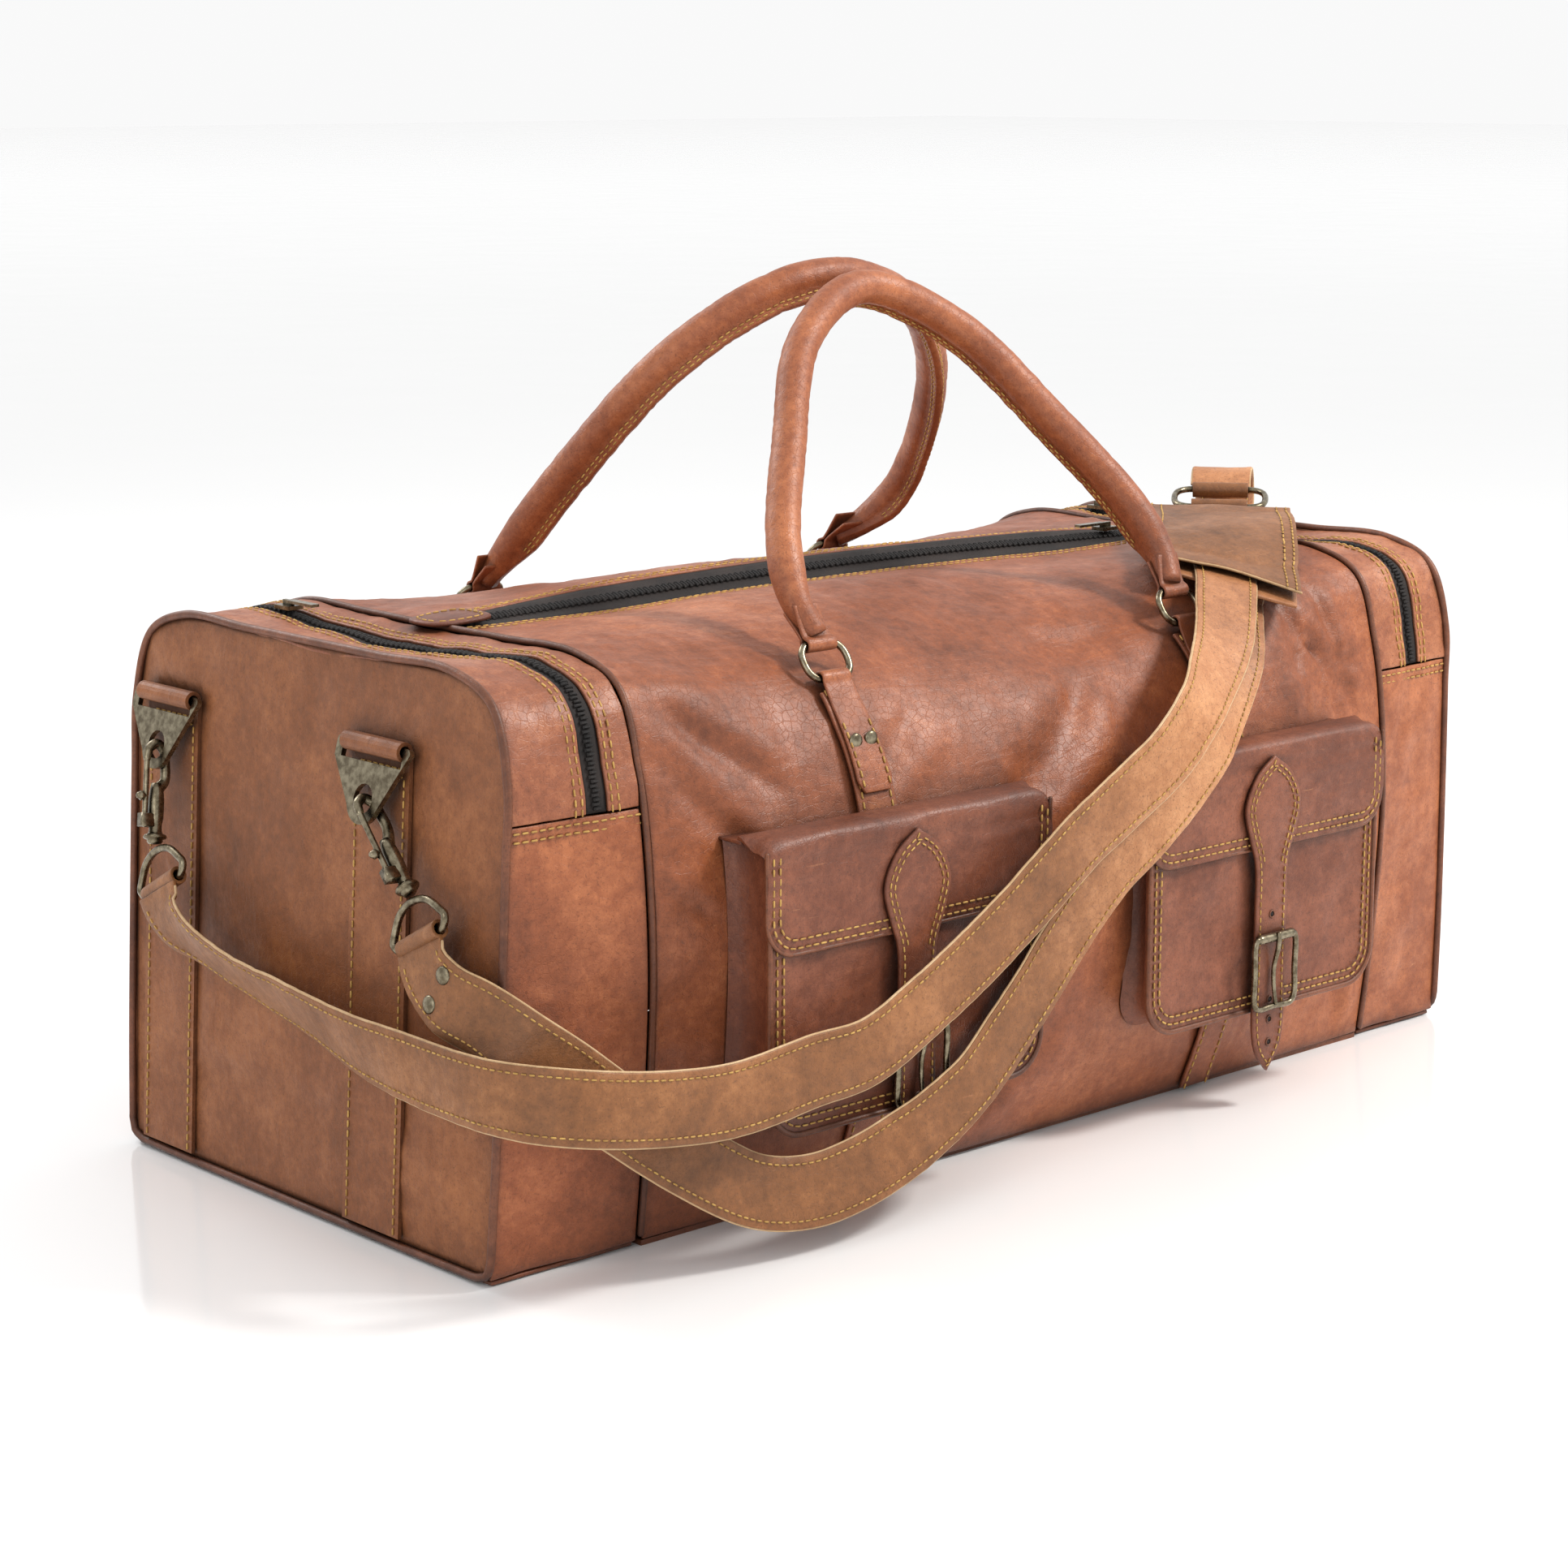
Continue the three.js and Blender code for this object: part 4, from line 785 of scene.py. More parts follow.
for name, end in ENDS.items():
    side, seam = end["side"], end["seam"]
    zip_in, zip_out = end["zip"] - side * END_ZIP_HALF, end["zip"] + side * END_ZIP_HALF
    start = seam + side * 2.5
    far_edge = edge_x(end, END_ZIP_BOTTOM)
    inner = gusset_grid(end, start, zip_in, END_ZIP_BOTTOM + 0.6, 14, 70)
    outer = gusset_grid(end, zip_out, far_edge, END_ZIP_BOTTOM + 0.6, 18, 70)
    stretch = (outer[:, :, 0] - zip_out) / (far_edge - zip_out)
    outer[:, :, 0] = zip_out + stretch * (edge_x(end, outer[:, :, 2]) - zip_out)
    both = {"inner": inner, "outer": outer}
    for part, grid in both.items():
        grid, normals = soften(grid, end)
        shell(f"{name}_gusset_{part}_leather", grid, outward(grid, normals) * LEATHER, TAN_TOP,
              slot="leather", replaces=(f"{name}_gusset_{part}",))
        both[part] = (grid, normals)
    for part, row in (("inner", -1), ("outer", 0)):
        grid, normals = both[part]
        inward = grid[row - 1 if row else 1] - grid[row]
        inward = inward / np.linalg.norm(inward, axis=1, keepdims=True)
        for inset in (2.6, 6.8):
            Stitching.add(even(grid[row] + inward * inset, 3), normal=(0, -0.3, 1))
    rims = both["inner"][0][-1], both["outer"][0][0]
    tape = np.array([rims[0] + (rims[1] - rims[0]) * s for s in np.linspace(0.02, 0.98, 7)])
    tape_normals = normals_facing(tape, (3, 70), 2, 1)
    tape = tape - tape_normals * 1.6
    shell(f"{name}_zip_tape", tape, outward(tape, tape_normals) * 0.7, TAPE, slot="zip",
          replaces=(f"{name}_end_zip",), rim=0)
    centre = tape[3] + tape_normals[3] * 0.2
    lookup = tape_normals[3]

    def zip_normal(p, centre=centre, lookup=lookup):
        return lookup[np.argmin(((centre - p) ** 2).sum(axis=1))]

    points, faces = joined(teeth_parts(centre, zip_normal, 4.6))
    piece(f"{name}_zip_teeth", points, faces, COIL, slot="zip", smooth=False)

    # The lower gusset's front and back sides, and its bottom.
    for face in (-1, 1):
        near = Skin.run(start, face, end, low=3.6, high=END_ZIP_BOTTOM, count=60)
        far = Skin.run(edge_x(end, 120), face, end, low=3.6, high=END_ZIP_BOTTOM, count=60)
        far[:, 0] = edge_x(end, far[:, 2])
        shares = np.linspace(0, 1, 26)[:, None]
        grid = near + (far - near) * shares[..., None]
        flat = grid.reshape(-1, 3)
        normals = normals_facing(grid, (10, 10), 1, face)
        push = (2.6 * fbm(flat, 70, 3, 2.2 + face) + 0.8 * fbm(flat, 22, 2, 6.6)).reshape(grid.shape[:2])
        push = push * np.sin(math.pi * np.clip(shares * 1.04 - 0.02, 0, 1)) ** 0.5 - 0.4
        grid = grid + normals * push[..., None]
        shell(f"{name}_gusset_lower_{'front' if face < 0 else 'back'}", grid,
              outward(grid, normals) * LEATHER, TAN, slot="leather",
              replaces=(f"{name}_gusset_lower",) if face < 0 else ())
        for inset in (3, 7.5):
            Stitching.add(even(grid[:, -1] - [0, 0, inset], 3) + [0, face * 0.4, 0], normal=(0, face, 0))
    x0, x1 = sorted((start, side * (LENGTH / 2 - 3)))
    bottom = np.array([[(x, y, 3) for y in np.linspace(-166, 166, 12)] for x in np.linspace(x0, x1, 4)])
    shell(f"{name}_gusset_bottom", bottom, 2.4, TAN, slot="leather")

    # The end panel: a slightly full sheet inside its piping.
    rim = even(Skin.whole(Skin.TABLES[0]), 4.0)
    centre = np.array([0.0, 155.0])
    grid = np.array([centre + (rim - centre) * (1 - share) for share in np.linspace(0.006, 1.0, 40)])
    rows, count = grid.shape[:2]
    flat = grid.reshape(-1, 2)
    trim = np.clip(flat, [-170, 5.0], [170, 308.5])
    world = np.stack([end_x(end, trim[:, 1]), trim[:, 0], trim[:, 1]], axis=1)
    away = np.clip(np.minimum.reduce([168 - np.abs(flat[:, 0]), 308 - flat[:, 1], flat[:, 1] - 4]) / 60, 0, 1)
    swell = 3.0 * fbm(world, 110, 2, 7.7 + side) + 1.0 * fbm(world, 40, 3, 1.3)
    push = 3.4 * away + swell * np.clip(away * 3, 0, 1)
    # Under its sewn straps the panel stays close to flat.
    under = np.maximum.reduce([
        np.exp(-(((flat[:, 0] - y) / 34) ** 6)) * (flat[:, 1] < 272) for y in END_STRAP_Y.values()])
    push = push * (1 - under) + np.clip(push, -1.5, 1.2) * under
    world[:, 0] += side * (push - 1.4)
    total, last = len(world), count - 1
    faces = quads(rows, count)
    faces += [(i * count + last, (i + 1) * count + last, (i + 1) * count, i * count) for i in range(rows - 1)]
    faces += [tuple(i + total for i in f[::-1]) for f in faces]
    faces += [(a, a + 1, a + 1 + total, a + total) for a in range(last)] + [(last, 0, total, total + last)]
    points = np.concatenate([world, world - [side * LEATHER, 0, 0]])
    piece(f"{name}_end_panel_leather", points, faces, TAN_END, slot="leather",
          replaces=(f"{name}_end_panel",))

    # Piping round the end panel and along the seam.
    half_base = [(169, 15), (166, 6.5), (157, 3.6), (110, 3.2)]
    base = half_base + [(0, 3.2)] + [(-y, z) for y, z in half_base[::-1]]
    rim_path = even(np.concatenate([rim[rim[:, 1] > 14], base]), 3.5)[:-1]
    path = np.stack([end_x(end, rim_path[:, 1]), rim_path[:, 0], rim_path[:, 1]], axis=1)
    tube(f"{name}_end_piping_roll", path, 2.3, PIPE, 10, True, slot="piping",
         replaces=(f"{name}_end_piping",))
    seam_path = Skin.whole(Skin.TABLES[1])
    seam_path = even(seam_path[seam_path[:, 1] > 5.4], 3.5)
    path = np.stack([np.full(len(seam_path), seam), seam_path[:, 0], seam_path[:, 1]], axis=1)
    tube(f"{name}_seam_piping_roll", path, 1.9, PIPE, 10, slot="piping", replaces=(f"{name}_seam_piping",))

    # Straps sewn on the end panel.
    for where, y in END_STRAP_Y.items():
        for off in (-END_STRAP_WIDTH / 2 + 4, END_STRAP_WIDTH / 2 - 4):
            line = [(end_x(end, z) + side * 3.0, y + off, z) for z in np.linspace(10, 252, 90)]
            Stitching.add(line, normal=(side, 0, 0))
        for up in (251, 255):
            line = [(end_x(end, up) + side * 3.0, y + s, up) for s in np.linspace(-19, 19, 12)]
            Stitching.add(line, normal=(side, 0, 0))


# ---- Straps on the body, with their riveted tabs -------------------------------------------------
def skin_at(x, face, z):
    """The depth of the front (-1) or back (1) skin at a height on the bag's flank."""
    flank = Skin.half(x)[:100]
    return face * float(np.interp(z, flank[:, 1], flank[:, 0]))


TAB_LOW, TAB_HIGH, TAB_FLAT_SHARE, TAB_LOOP = 228, 274, 0.42, 4.4
RIVET_HEIGHT, RIVET_SIDES = 254, 16


for face, side in ((-1, "front"), (1, "back")):
    for x, hand in ((-LEG_X, "left"), (LEG_X, "right")):
        grid = np.array([
            Skin.run(x + dx, face, low=3.6, high=277, count=90) for dx in np.linspace(-13, 13, 9)])
        normals = normals_facing(grid, (4, 20), 1, face)
        lift = np.array([[3.0 + 0.3 * fbm([p], 25, 2, 3.0)[0] for p in row] for row in grid])
        grid = grid + normals * lift[..., None]
        shell(f"{side}_strap_{hand}_leather", grid, outward(grid, normals) * LEATHER, TAN, slot="leather",
              replaces=(f"{side}_strap_{hand}",))
        for column in (1, -2):
            Stitching.add(grid[column] + normals[column] * 0.1, normal=(0, face * 0.9, 0.3))
        # The tab lies on the strap, then loops round the ring's lower bar.
        tip = []
        for t in np.linspace(0, 1, 26):
            if t < TAB_FLAT_SHARE:
                z = TAB_LOW + (TAB_HIGH - TAB_LOW) * t / TAB_FLAT_SHARE
                tip.append((skin_at(x, face, z) + face * 5.6, z))
            else:
                angle = math.radians(200 - 250 * (t - TAB_FLAT_SHARE) / (1 - TAB_FLAT_SHARE))
                tip.append((face * PIVOT_DEPTH - face * TAB_LOOP * math.cos(angle),
                            PIVOT_HEIGHT + TAB_LOOP * math.sin(angle)))
        tip = even(np.array(tip), 2.0)
        tab_half = np.interp(np.linspace(0, 1, len(tip)), [0, 0.08, 0.5, 1], [9, 12.5, 11, 9.5])
        grid = np.array([
            [(x + s * h, p[0], p[1]) for p, h in zip(tip, tab_half)] for s in np.linspace(-1, 1, 7)])
        normals = normals_facing(grid, (3, 3), 1, face)
        shell(f"{side}_tab_{hand}", grid, outward(grid, normals) * 1.8, TAN, slot="leather")
        for s in (-1, 1):
            Stitching.add([(x + s * 9.4, p[0] + face * 0.3, p[1]) for p in tip[2:int(len(tip) * 0.5)]],
                          normal=(0, face * 0.9, 0.4))
            y = skin_at(x, face, RIVET_HEIGHT) + face * 5.8
            head = spline([(0, 0), (2.6, 0.3), (4.2, 1.0), (4.6, 1.8), (4.6, 2.2)])(np.linspace(0, 1, 8))
            ring = [(x + s * 5.6 + r * math.cos(a), y + face * (1.6 - d), RIVET_HEIGHT + r * math.sin(a))
                    for r, d in head for a in turns(RIVET_SIDES)]
            faces = quads(len(head), RIVET_SIDES, False, True)
            faces.append(tuple(range(len(ring) - RIVET_SIDES, len(ring))))
            piece(f"{side}_rivet_{hand}_{'a' if s < 0 else 'b'}", ring, faces, BRASS, slot="brass")


# ---- Handles -------------------------------------------------------------------------------------
FRONT_HANDLE = [
    (-143, 25), (-147, 46), (-139, 80), (-107, 137), (-62, 203), (0, 234),
    (62, 203), (107, 137), (139, 80), (147, 46), (143, 25),
]
BACK_HANDLE = [
    (-143, 25), (-139, 50), (-125, 112), (-92, 198), (-42, 246), (8, 258),
    (80, 234), (131, 186), (163, 124), (174, 66), (160, 38), (143, 25),
]


def build_handle(name, body, face, lean, route):
    """A rolled handle with its feet and rings, along a route in the plane of its swing at rest."""
    turn = Matrix.Translation((0, face * PIVOT_DEPTH, PIVOT_HEIGHT)) @ Matrix.Rotation(
        math.pi / 2 + face * math.radians(lean), 4, "X")
    fine = spline(route)(np.linspace(0, 1, 260))
    path = even(fine, 3.2)
    path = np.stack([path[:, 0], path[:, 1], np.zeros(len(path))], axis=1)
    share = np.linspace(0, 1, len(path))
    ends_taper = np.clip(np.minimum(share, 1 - share) / 0.07, 0, 1)
    wobble = 1 + 0.03 * fbm(path, 22, 2, 4.0 + face)
    creases = np.clip(1 - np.abs(fbm(path, 9, 2, 8.0 + face)) * 4, 0, 1) ** 2
    radius = (7.0 + 3.0 * ends_taper) * wobble - 0.35 * creases * ends_taper
    tangent = np.gradient(path, axis=0)
    tangent /= np.linalg.norm(tangent, axis=1, keepdims=True)
    inward = np.stack([tangent[:, 1], -tangent[:, 0], np.zeros(len(path))], axis=1)
    if inward[len(path) // 2, 1] > 0:
        inward = -inward
    # The roll is a round core whose leather runs into a flat stitched fin.
    facing = np.array([0, 0, float(face)]) + inward * 0.25
    facing /= np.linalg.norm(facing, axis=1, keepdims=True)
    across = np.cross(tangent, facing)
    profile = [(math.cos(a), math.sin(a)) for a in np.linspace(math.radians(24), math.radians(336), 25)]
    fin = np.clip(ends_taper * 1.4 - 0.2, 0, 1)
    rings = []
    for p, r, d, c, f in zip(path, radius, facing, across, fin):
        ring = [p + d * u * r + c * v * r for u, v in profile]
        for depth, half in ((1.42, 2.6), (1.52, 2.1), (1.52, -2.1), (1.42, -2.6)):
            ring.append(p + d * r * (0.95 + (depth - 0.95) * f) - c * half)
        rings.append(ring)
    rings = np.array(rings)
    count = rings.shape[1]
    faces = quads(len(rings), count, False, True) + [
        tuple(range(count))[::-1], tuple((len(rings) - 1) * count + k for k in range(count))]
    points = moved(rings.reshape(-1, 3), turn)
    piece(f"{name}_roll", points, faces, TAN, body, slot="leather", replaces=(name,))
    keep = fin > 0.9
    for s in (2.6, -2.6):
        for reach in (1.14, 1.36):
            line = path + facing * (radius * reach)[:, None] + across * s * (1.35 if reach < 1.2 else 1.0)
            Stitching.add(moved(line[keep], turn), body, radius=0.55, length=3.2,
                          normal=np.array(turn)[:3, :3] @ (across[len(path) // 2] * math.copysign(1, s)))
    for x, hand in ((-LEG_X, "left"), (LEG_X, "right")):
        # The leather of each leg folds round the ring's upper bar and is sewn to itself.
        sign = math.copysign(1, x)
        loop = [(RING_HEIGHT - 4.2 * math.cos(math.radians(a)), 4.2 * math.sin(math.radians(a)))
                for a in np.linspace(-150, 150, 22)]
        loop = [(RING_HEIGHT + 22, -5.5)] + loop + [(RING_HEIGHT + 22, 5.5)]
        loop = even(spline(loop)(np.linspace(0, 1, 80)), 2.0)
        half = np.interp(np.linspace(0, 1, len(loop)), [0, 0.3, 0.5, 0.7, 1], [8.5, 10, 10.5, 10, 8.5])
        centre_x = x + np.interp(loop[:, 0], [RING_HEIGHT, RING_HEIGHT + 22], [0, sign * 3.2])
        grid = np.array([[(c + s * h, v, w) for (v, w), h, c in zip(loop, half, centre_x)]
                         for s in np.linspace(-1, 1, 7)])
        world = moved(grid.reshape(-1, 3), turn).reshape(grid.shape)
        shell(f"{name}_foot_{hand}", world, 1.8 if outward_loop(grid) else -1.8, TAN, body=body,
              slot="leather")
        corner, w = 5, 15
        outline = spline([
            (x - w + corner, 0, 0), (x, 0, 0), (x + w - corner, 0, 0), (x + w, corner, 0),
            (x + w, RING_HEIGHT - corner, 0), (x + w - corner, RING_HEIGHT, 0), (x, RING_HEIGHT, 0),
            (x - w + corner, RING_HEIGHT, 0), (x - w, RING_HEIGHT - corner, 0), (x - w, corner, 0),
        ], True)(np.linspace(0, 1, 60, endpoint=False))
        tube(f"{name}_ring_{hand}_wire", moved(outline, turn), 2.0, BRASS, 12, True, body=body, slot="brass",
             replaces=(f"{name}_ring_{hand}",))


def outward_loop(grid):
    """Whether a folded strip's computed normals point away from the fold's middle."""
    normals = normals_of(grid)
    middle = grid.reshape(-1, 3).mean(axis=0)
    return ((grid - middle) * normals).sum() > 0


build_handle("handle_front", "front_handle", -1, 33, FRONT_HANDLE)
build_handle("handle_back", "back_handle", 1, 38.5, BACK_HANDLE)


# ---- Flap pockets --------------------------------------------------------------------------------
def rounded(x, width, top, bottom, radius, step=3.0):
    """A pocket's outline of (x, z), round at the bottom corners."""
    half = width / 2
    pts = [(x - half, top)]
    pts += [(x - half + radius * (1 - math.cos(a)), bottom + radius * (1 - math.sin(a)))
            for a in np.linspace(0, math.pi / 2, 12)]
    pts += [(x + half - radius * (1 - math.sin(a)), bottom + radius * (1 - math.cos(a)))
            for a in np.linspace(0, math.pi / 2, 12)]
    pts += [(x + half, top)]
    return even(np.array(pts), step)


def tongue_outline(x):
    """A tongue's outline of (x, z): a leaf at the top, then a straight strap to its point."""
    half, head, tip = 13.5, 25, 22
    left = [(x, 213), (x - head * 0.62, 202), (x - head * 0.97, 184), (x - head * 0.80, 166),
            (x - half * 1.06, 150), (x - half, 120), (x - half, 80),
            (x - half, tip + 26), (x - half * 0.72, tip + 12), (x, tip)]
    right = [(2 * x - a, b) for a, b in left[::-1]]
    fine = np.concatenate([spline(left)(np.linspace(0, 1, 90)), spline(right)(np.linspace(0, 1, 90))[1:-1]])
    return even(fine, 2.2)[:-1]


def inset_line(outline, depth, closed=False):
    """The outline moved inwards."""
    if closed:
        along = np.roll(outline, -1, axis=0) - np.roll(outline, 1, axis=0)
    else:
        along = np.gradient(outline, axis=0)
    along /= np.linalg.norm(along, axis=1, keepdims=True)
    out = np.stack([along[:, 1], -along[:, 0]], axis=1)
    moved_line = outline + out * depth
    centre = outline.mean(axis=0)
    if np.linalg.norm(moved_line - centre, axis=1).mean() > np.linalg.norm(outline - centre, axis=1).mean():
        moved_line = outline - out * depth
    return moved_line


BELLOWS, GUSSET_ROWS = 6.5, 9


def build_pocket(hand, x):
    """A front pocket with its flap, tongue and buckle."""
    body = f"{hand}_flap"
    # Gusset and face: rows go round the outline, from the bag's skin forward and in to the face's top middle.
    outline = rounded(x, POCKET_WIDTH - 1, POCKET_TOP - 0.5, POCKET_BOTTOM + 0.5, 24)
    rings = []
    wall = np.array([max(skin_at(px, -1, max(pz, 20)), -FLAP_HINGE_DEPTH) for px, pz in outline])
    for share in np.linspace(0, 1, GUSSET_ROWS):
        bow = BELLOWS * math.sin(math.pi * share) ** 0.7
        ring = inset_line(outline, 0.4 + bow)
        ring[:, 1] = np.minimum(ring[:, 1], POCKET_TOP - 0.5)
        y = wall - 1.6 + (-POCKET_FACE + 2.4 - wall + 1.6) * share
        rings.append(upright(ring, y))
    for inset, depth in ((0.2, -POCKET_FACE + 1.2), (1.2, -POCKET_FACE + 0.4), (3, -POCKET_FACE + 0.1)):
        rings.append(upright(inset_line(outline, inset), depth))
    centre = np.array([x, POCKET_TOP - 0.5])
    last = inset_line(outline, 3)
    for share in np.linspace(0.06, 1, 24):
        flat = last + (centre - last) * share
        flat[:, 1] = np.minimum(flat[:, 1], POCKET_TOP - 0.5)
        rings.append(upright(flat, -POCKET_FACE + 0.1))
    grid = np.array(rings)
    flat = grid.reshape(-1, 3)
    inside = np.clip((np.minimum.reduce([
        POCKET_WIDTH / 2 - np.abs(flat[:, 0] - x), flat[:, 2] - POCKET_BOTTOM, POCKET_TOP - flat[:, 2] + 12,
    ]) - 6) / 18, 0, 1)
    face_part = (np.arange(len(rings)) >= GUSSET_ROWS).repeat(grid.shape[1])
    dent = (1.5 * fbm(flat, 55, 3, 3.3 + x) + 0.7 * fbm(flat, 18, 2, x)) * inside * face_part
    flat[:, 1] += np.clip(dent, -1.8, 1.6) + 0.8 * inside * face_part
    grid = flat.reshape(grid.shape)
    normals = normals_of(grid)
    shell(f"pocket_{hand}_leather", grid, 1.6 if normals[20, 30, 1] < 0 else -1.6, BROWN, slot="dark_leather",
          replaces=(f"pocket_{hand}",))
    lip = -FLAP_HINGE_DEPTH + 0.8
    ledge = np.array([[(px, y, POCKET_TOP - 0.6) for y in np.linspace(lip, skin_at(px, -1, 216) + 2, 4)]
                      for px in np.linspace(x - 102, x + 102, 24)])
    ledge[:, :, 1] = np.maximum(ledge[:, :, 1], lip)
    shell(f"pocket_{hand}_ledge", ledge, 1.8, BROWN, slot="dark_leather")
    # A rolled flange stands out along the seam of face and gusset.
    flange = upright(inset_line(outline, 1.5), -POCKET_FACE + 0.3)
    tube(f"pocket_{hand}_edge", flange[1:-1], 1.7, PIPE, 8, slot="piping")
    for inset in (6, 10.5):
        Stitching.add(upright(inset_line(outline, inset), -POCKET_FACE - 0.2)[2:-2], normal=(0, -1, 0))

    # Flap: a sheet that folds over the top edge and hangs with round corners.
    top, drop, half = FLAP_HINGE_HEIGHT, FLAP_DROP, POCKET_WIDTH / 2 + 2
    profile = [(-FLAP_HINGE_DEPTH, top - 0.4), (-212, top - 0.2), (-219, top - 0.6), (-223.2, top - 3.2),
               (-224.6, top - 8), (-224.7, top - 20), (-224.7, top - 40), (-224.7, top - drop)]
    profile = even(spline(profile)(np.linspace(0, 1, 120)), 2.6)
    columns = np.linspace(-half, half, 84)
    grid = []
    for dx in columns:
        away = half - abs(dx)
        lift = 20 - math.sqrt(max(0, 20**2 - (20 - away) ** 2)) if away < 20 else 0
        droop = 7 * (1 - math.sqrt(max(0, 1 - ((15 - away) / 15) ** 2))) if away < 15 else 0
        column = []
        for y, z in profile:
            z -= droop * min(1, max(0, (z - top + 30) / 26)) * min(1, max(0, (-y - 203) / 10))
            if z < top - drop + 22:
                share = (top - drop + 22 - z) / 22
                z = z + lift * share
            column.append((x + dx, y, z))
        grid.append(column)
    grid = np.array(grid)
    flat = grid.reshape(-1, 3)
    push = 1.0 * fbm(flat, 48, 2, 2.7 + x) + 0.45 * fbm(flat, 16, 2, 7.1 + x)
    front = np.clip((-flat[:, 1] - 222) / 2, 0, 1)
    ridge = -0.9 * np.exp(-(((flat[:, 2] - top + 15) / 3.2) ** 2))
    ridge += 0.5 * np.exp(-(((flat[:, 2] - top + 21) / 3.5) ** 2))
    flat[:, 1] += front * np.clip(push - ridge + 0.5, -0.3, 1.6)
    grid = flat.reshape(grid.shape)
    normals = normals_facing(grid, (40, -3), 1, -1)
    shell(f"flap_{hand}_leather", grid, outward(grid, normals) * LEATHER, BROWN, body=body,
          slot="dark_leather", replaces=(f"flap_{hand}",))
    rim = rounded(x, 2 * half, top - 4, top - drop, 20)
    for inset in (4, 8.5):
        ring = inset_line(rim, inset)
        ring = ring[ring[:, 1] < top - 9]
        Stitching.add(upright(ring, -224.6), body, normal=(0, -1, 0))
    edge = inset_line(rim, 0.6)[1:-1]
    tube(f"flap_{hand}_edge", upright(edge, -223.4), 1.2, PIPE, 8, body=body, slot="piping")

    # Tongue: pointed leaf at the top, straight strap with holes drawn as rims over discs of painted shade,
    # pointed tip.
    outline = tongue_outline(x)
    grid_points, faces = slab_parts(outline, -227.7, -225.3, 0.9)
    piece(f"flap_strap_{hand}_leather", grid_points, faces, BROWN, body, slot="dark_leather",
          replaces=(f"flap_strap_{hand}",))
    for inset in (3.0, 6.2):
        ring = inset_line(outline, inset, True)
        ring = ring[ring[:, 1] > 148] if inset > 5 else ring
        for run in np.split(ring, np.where(np.linalg.norm(np.diff(ring, axis=0), axis=1) > 8)[0] + 1):
            if len(run) > 3:
                Stitching.add(upright(run, -227.8), body, normal=(0, -1, 0), radius=0.5, length=3.2)
    for z in (118, 66, 54, 40):
        hole = [(x + 2.1 * math.cos(a), -227.9, z + 2.1 * math.sin(a)) for a in turns(14)]
        tube(f"flap_strap_{hand}_hole_{z}", hole, 0.5, PIPE, 6, True, body=body, slot="piping")
        # Painted shade: the tongue is not cut through, so a near-black disc on its face at each hole stands
        # in for the shadowed hole.
        disc = [(x + 1.9 * math.cos(a), -227.75, z + 1.9 * math.sin(a)) for a in turns(14)]
        back_disc = [(a, b + 0.2, c) for a, b, c in disc]
        faces = [tuple(range(14)), tuple(range(14, 28))[::-1]]
        faces += [(i, (i + 1) % 14, (i + 1) % 14 + 14, i + 14) for i in range(14)]
        piece(f"flap_strap_{hand}_dark_{z}", disc + back_disc, faces, TAPE, body, slot="zip")
    # The roller buckle: its frame, ribbed roller and prong.
    y = -231.2
    w, h = 18, 21
    frame_line = spline([
        (x - w + 3, y, BUCKLE_HEIGHT - h), (x, y, BUCKLE_HEIGHT - h), (x + w - 3, y, BUCKLE_HEIGHT - h),
        (x + w, y, BUCKLE_HEIGHT - h + 4), (x + w, y, BUCKLE_HEIGHT), (x + w, y, BUCKLE_HEIGHT + h - 3),
        (x + w - 2, y, BUCKLE_HEIGHT + h), (x, y, BUCKLE_HEIGHT + h), (x - w + 2, y, BUCKLE_HEIGHT + h),
        (x - w, y, BUCKLE_HEIGHT + h - 3), (x - w, y, BUCKLE_HEIGHT), (x - w, y, BUCKLE_HEIGHT - h + 4),
    ], True)(np.linspace(0, 1, 72, endpoint=False))
    parts = [tube_parts(frame_line, 1.8, 12, True)]
    roller_line = np.linspace((x - w + 4, y, BUCKLE_HEIGHT + h), (x + w - 4, y, BUCKLE_HEIGHT + h), 24)
    ribs = 2.75 + 0.12 * (np.arange(24) % 2)
    parts.append(tube_parts(roller_line, ribs, 16))
    prong = spline([
        (x, y - 2.6, BUCKLE_HEIGHT + h + 2), (x, y - 2.2, BUCKLE_HEIGHT + h - 6),
        (x, y + 0.8, BUCKLE_HEIGHT + 2), (x, y + 0.4, BUCKLE_HEIGHT - 10),
        (x, y - 1.2, BUCKLE_HEIGHT - h + 2),
    ])
    parts.append(tube_parts(prong(np.linspace(0, 1, 20)), np.linspace(1.7, 1.2, 20), 10))
    points, faces = joined(parts)
    piece(f"flap_buckle_{hand}_frame", points, faces, BRASS, body, slot="brass",
          replaces=(f"flap_buckle_{hand}",))


build_pocket("left", -143)
build_pocket("right", 148)


# ---- Shoulder strap ------------------------------------------------------------------------------
CORE = np.array([-90.0, 215.0])
DEE_WIRE, BUCKLE_WIRE = 2.1, 2.0
FRONT_DEE_BAR, BACK_DEE_BAR, DEE_ACROSS = (-391, -122, 175), (-401, 103, 165), (0, -0.88, 0.48)
BUCKLE_ALONG, BUCKLE_ACROSS = np.array([0.75, 0.62, 0.22]), np.array([-0.64, 0.77, 0])
BUCKLE_CENTRE, BUCKLE_HALF_LENGTH = np.array([324, -29, 331]), 16
SHORT_LIFT, PAD_LIFT, PAD_THICKNESS, PAD_WIDTH = 3.6, 7.4, 9, 92
LONG_LIFT = PAD_LIFT + 3.2


def buckle_bar(sign):
    return tuple(BUCKLE_CENTRE + sign * BUCKLE_HALF_LENGTH * BUCKLE_ALONG)


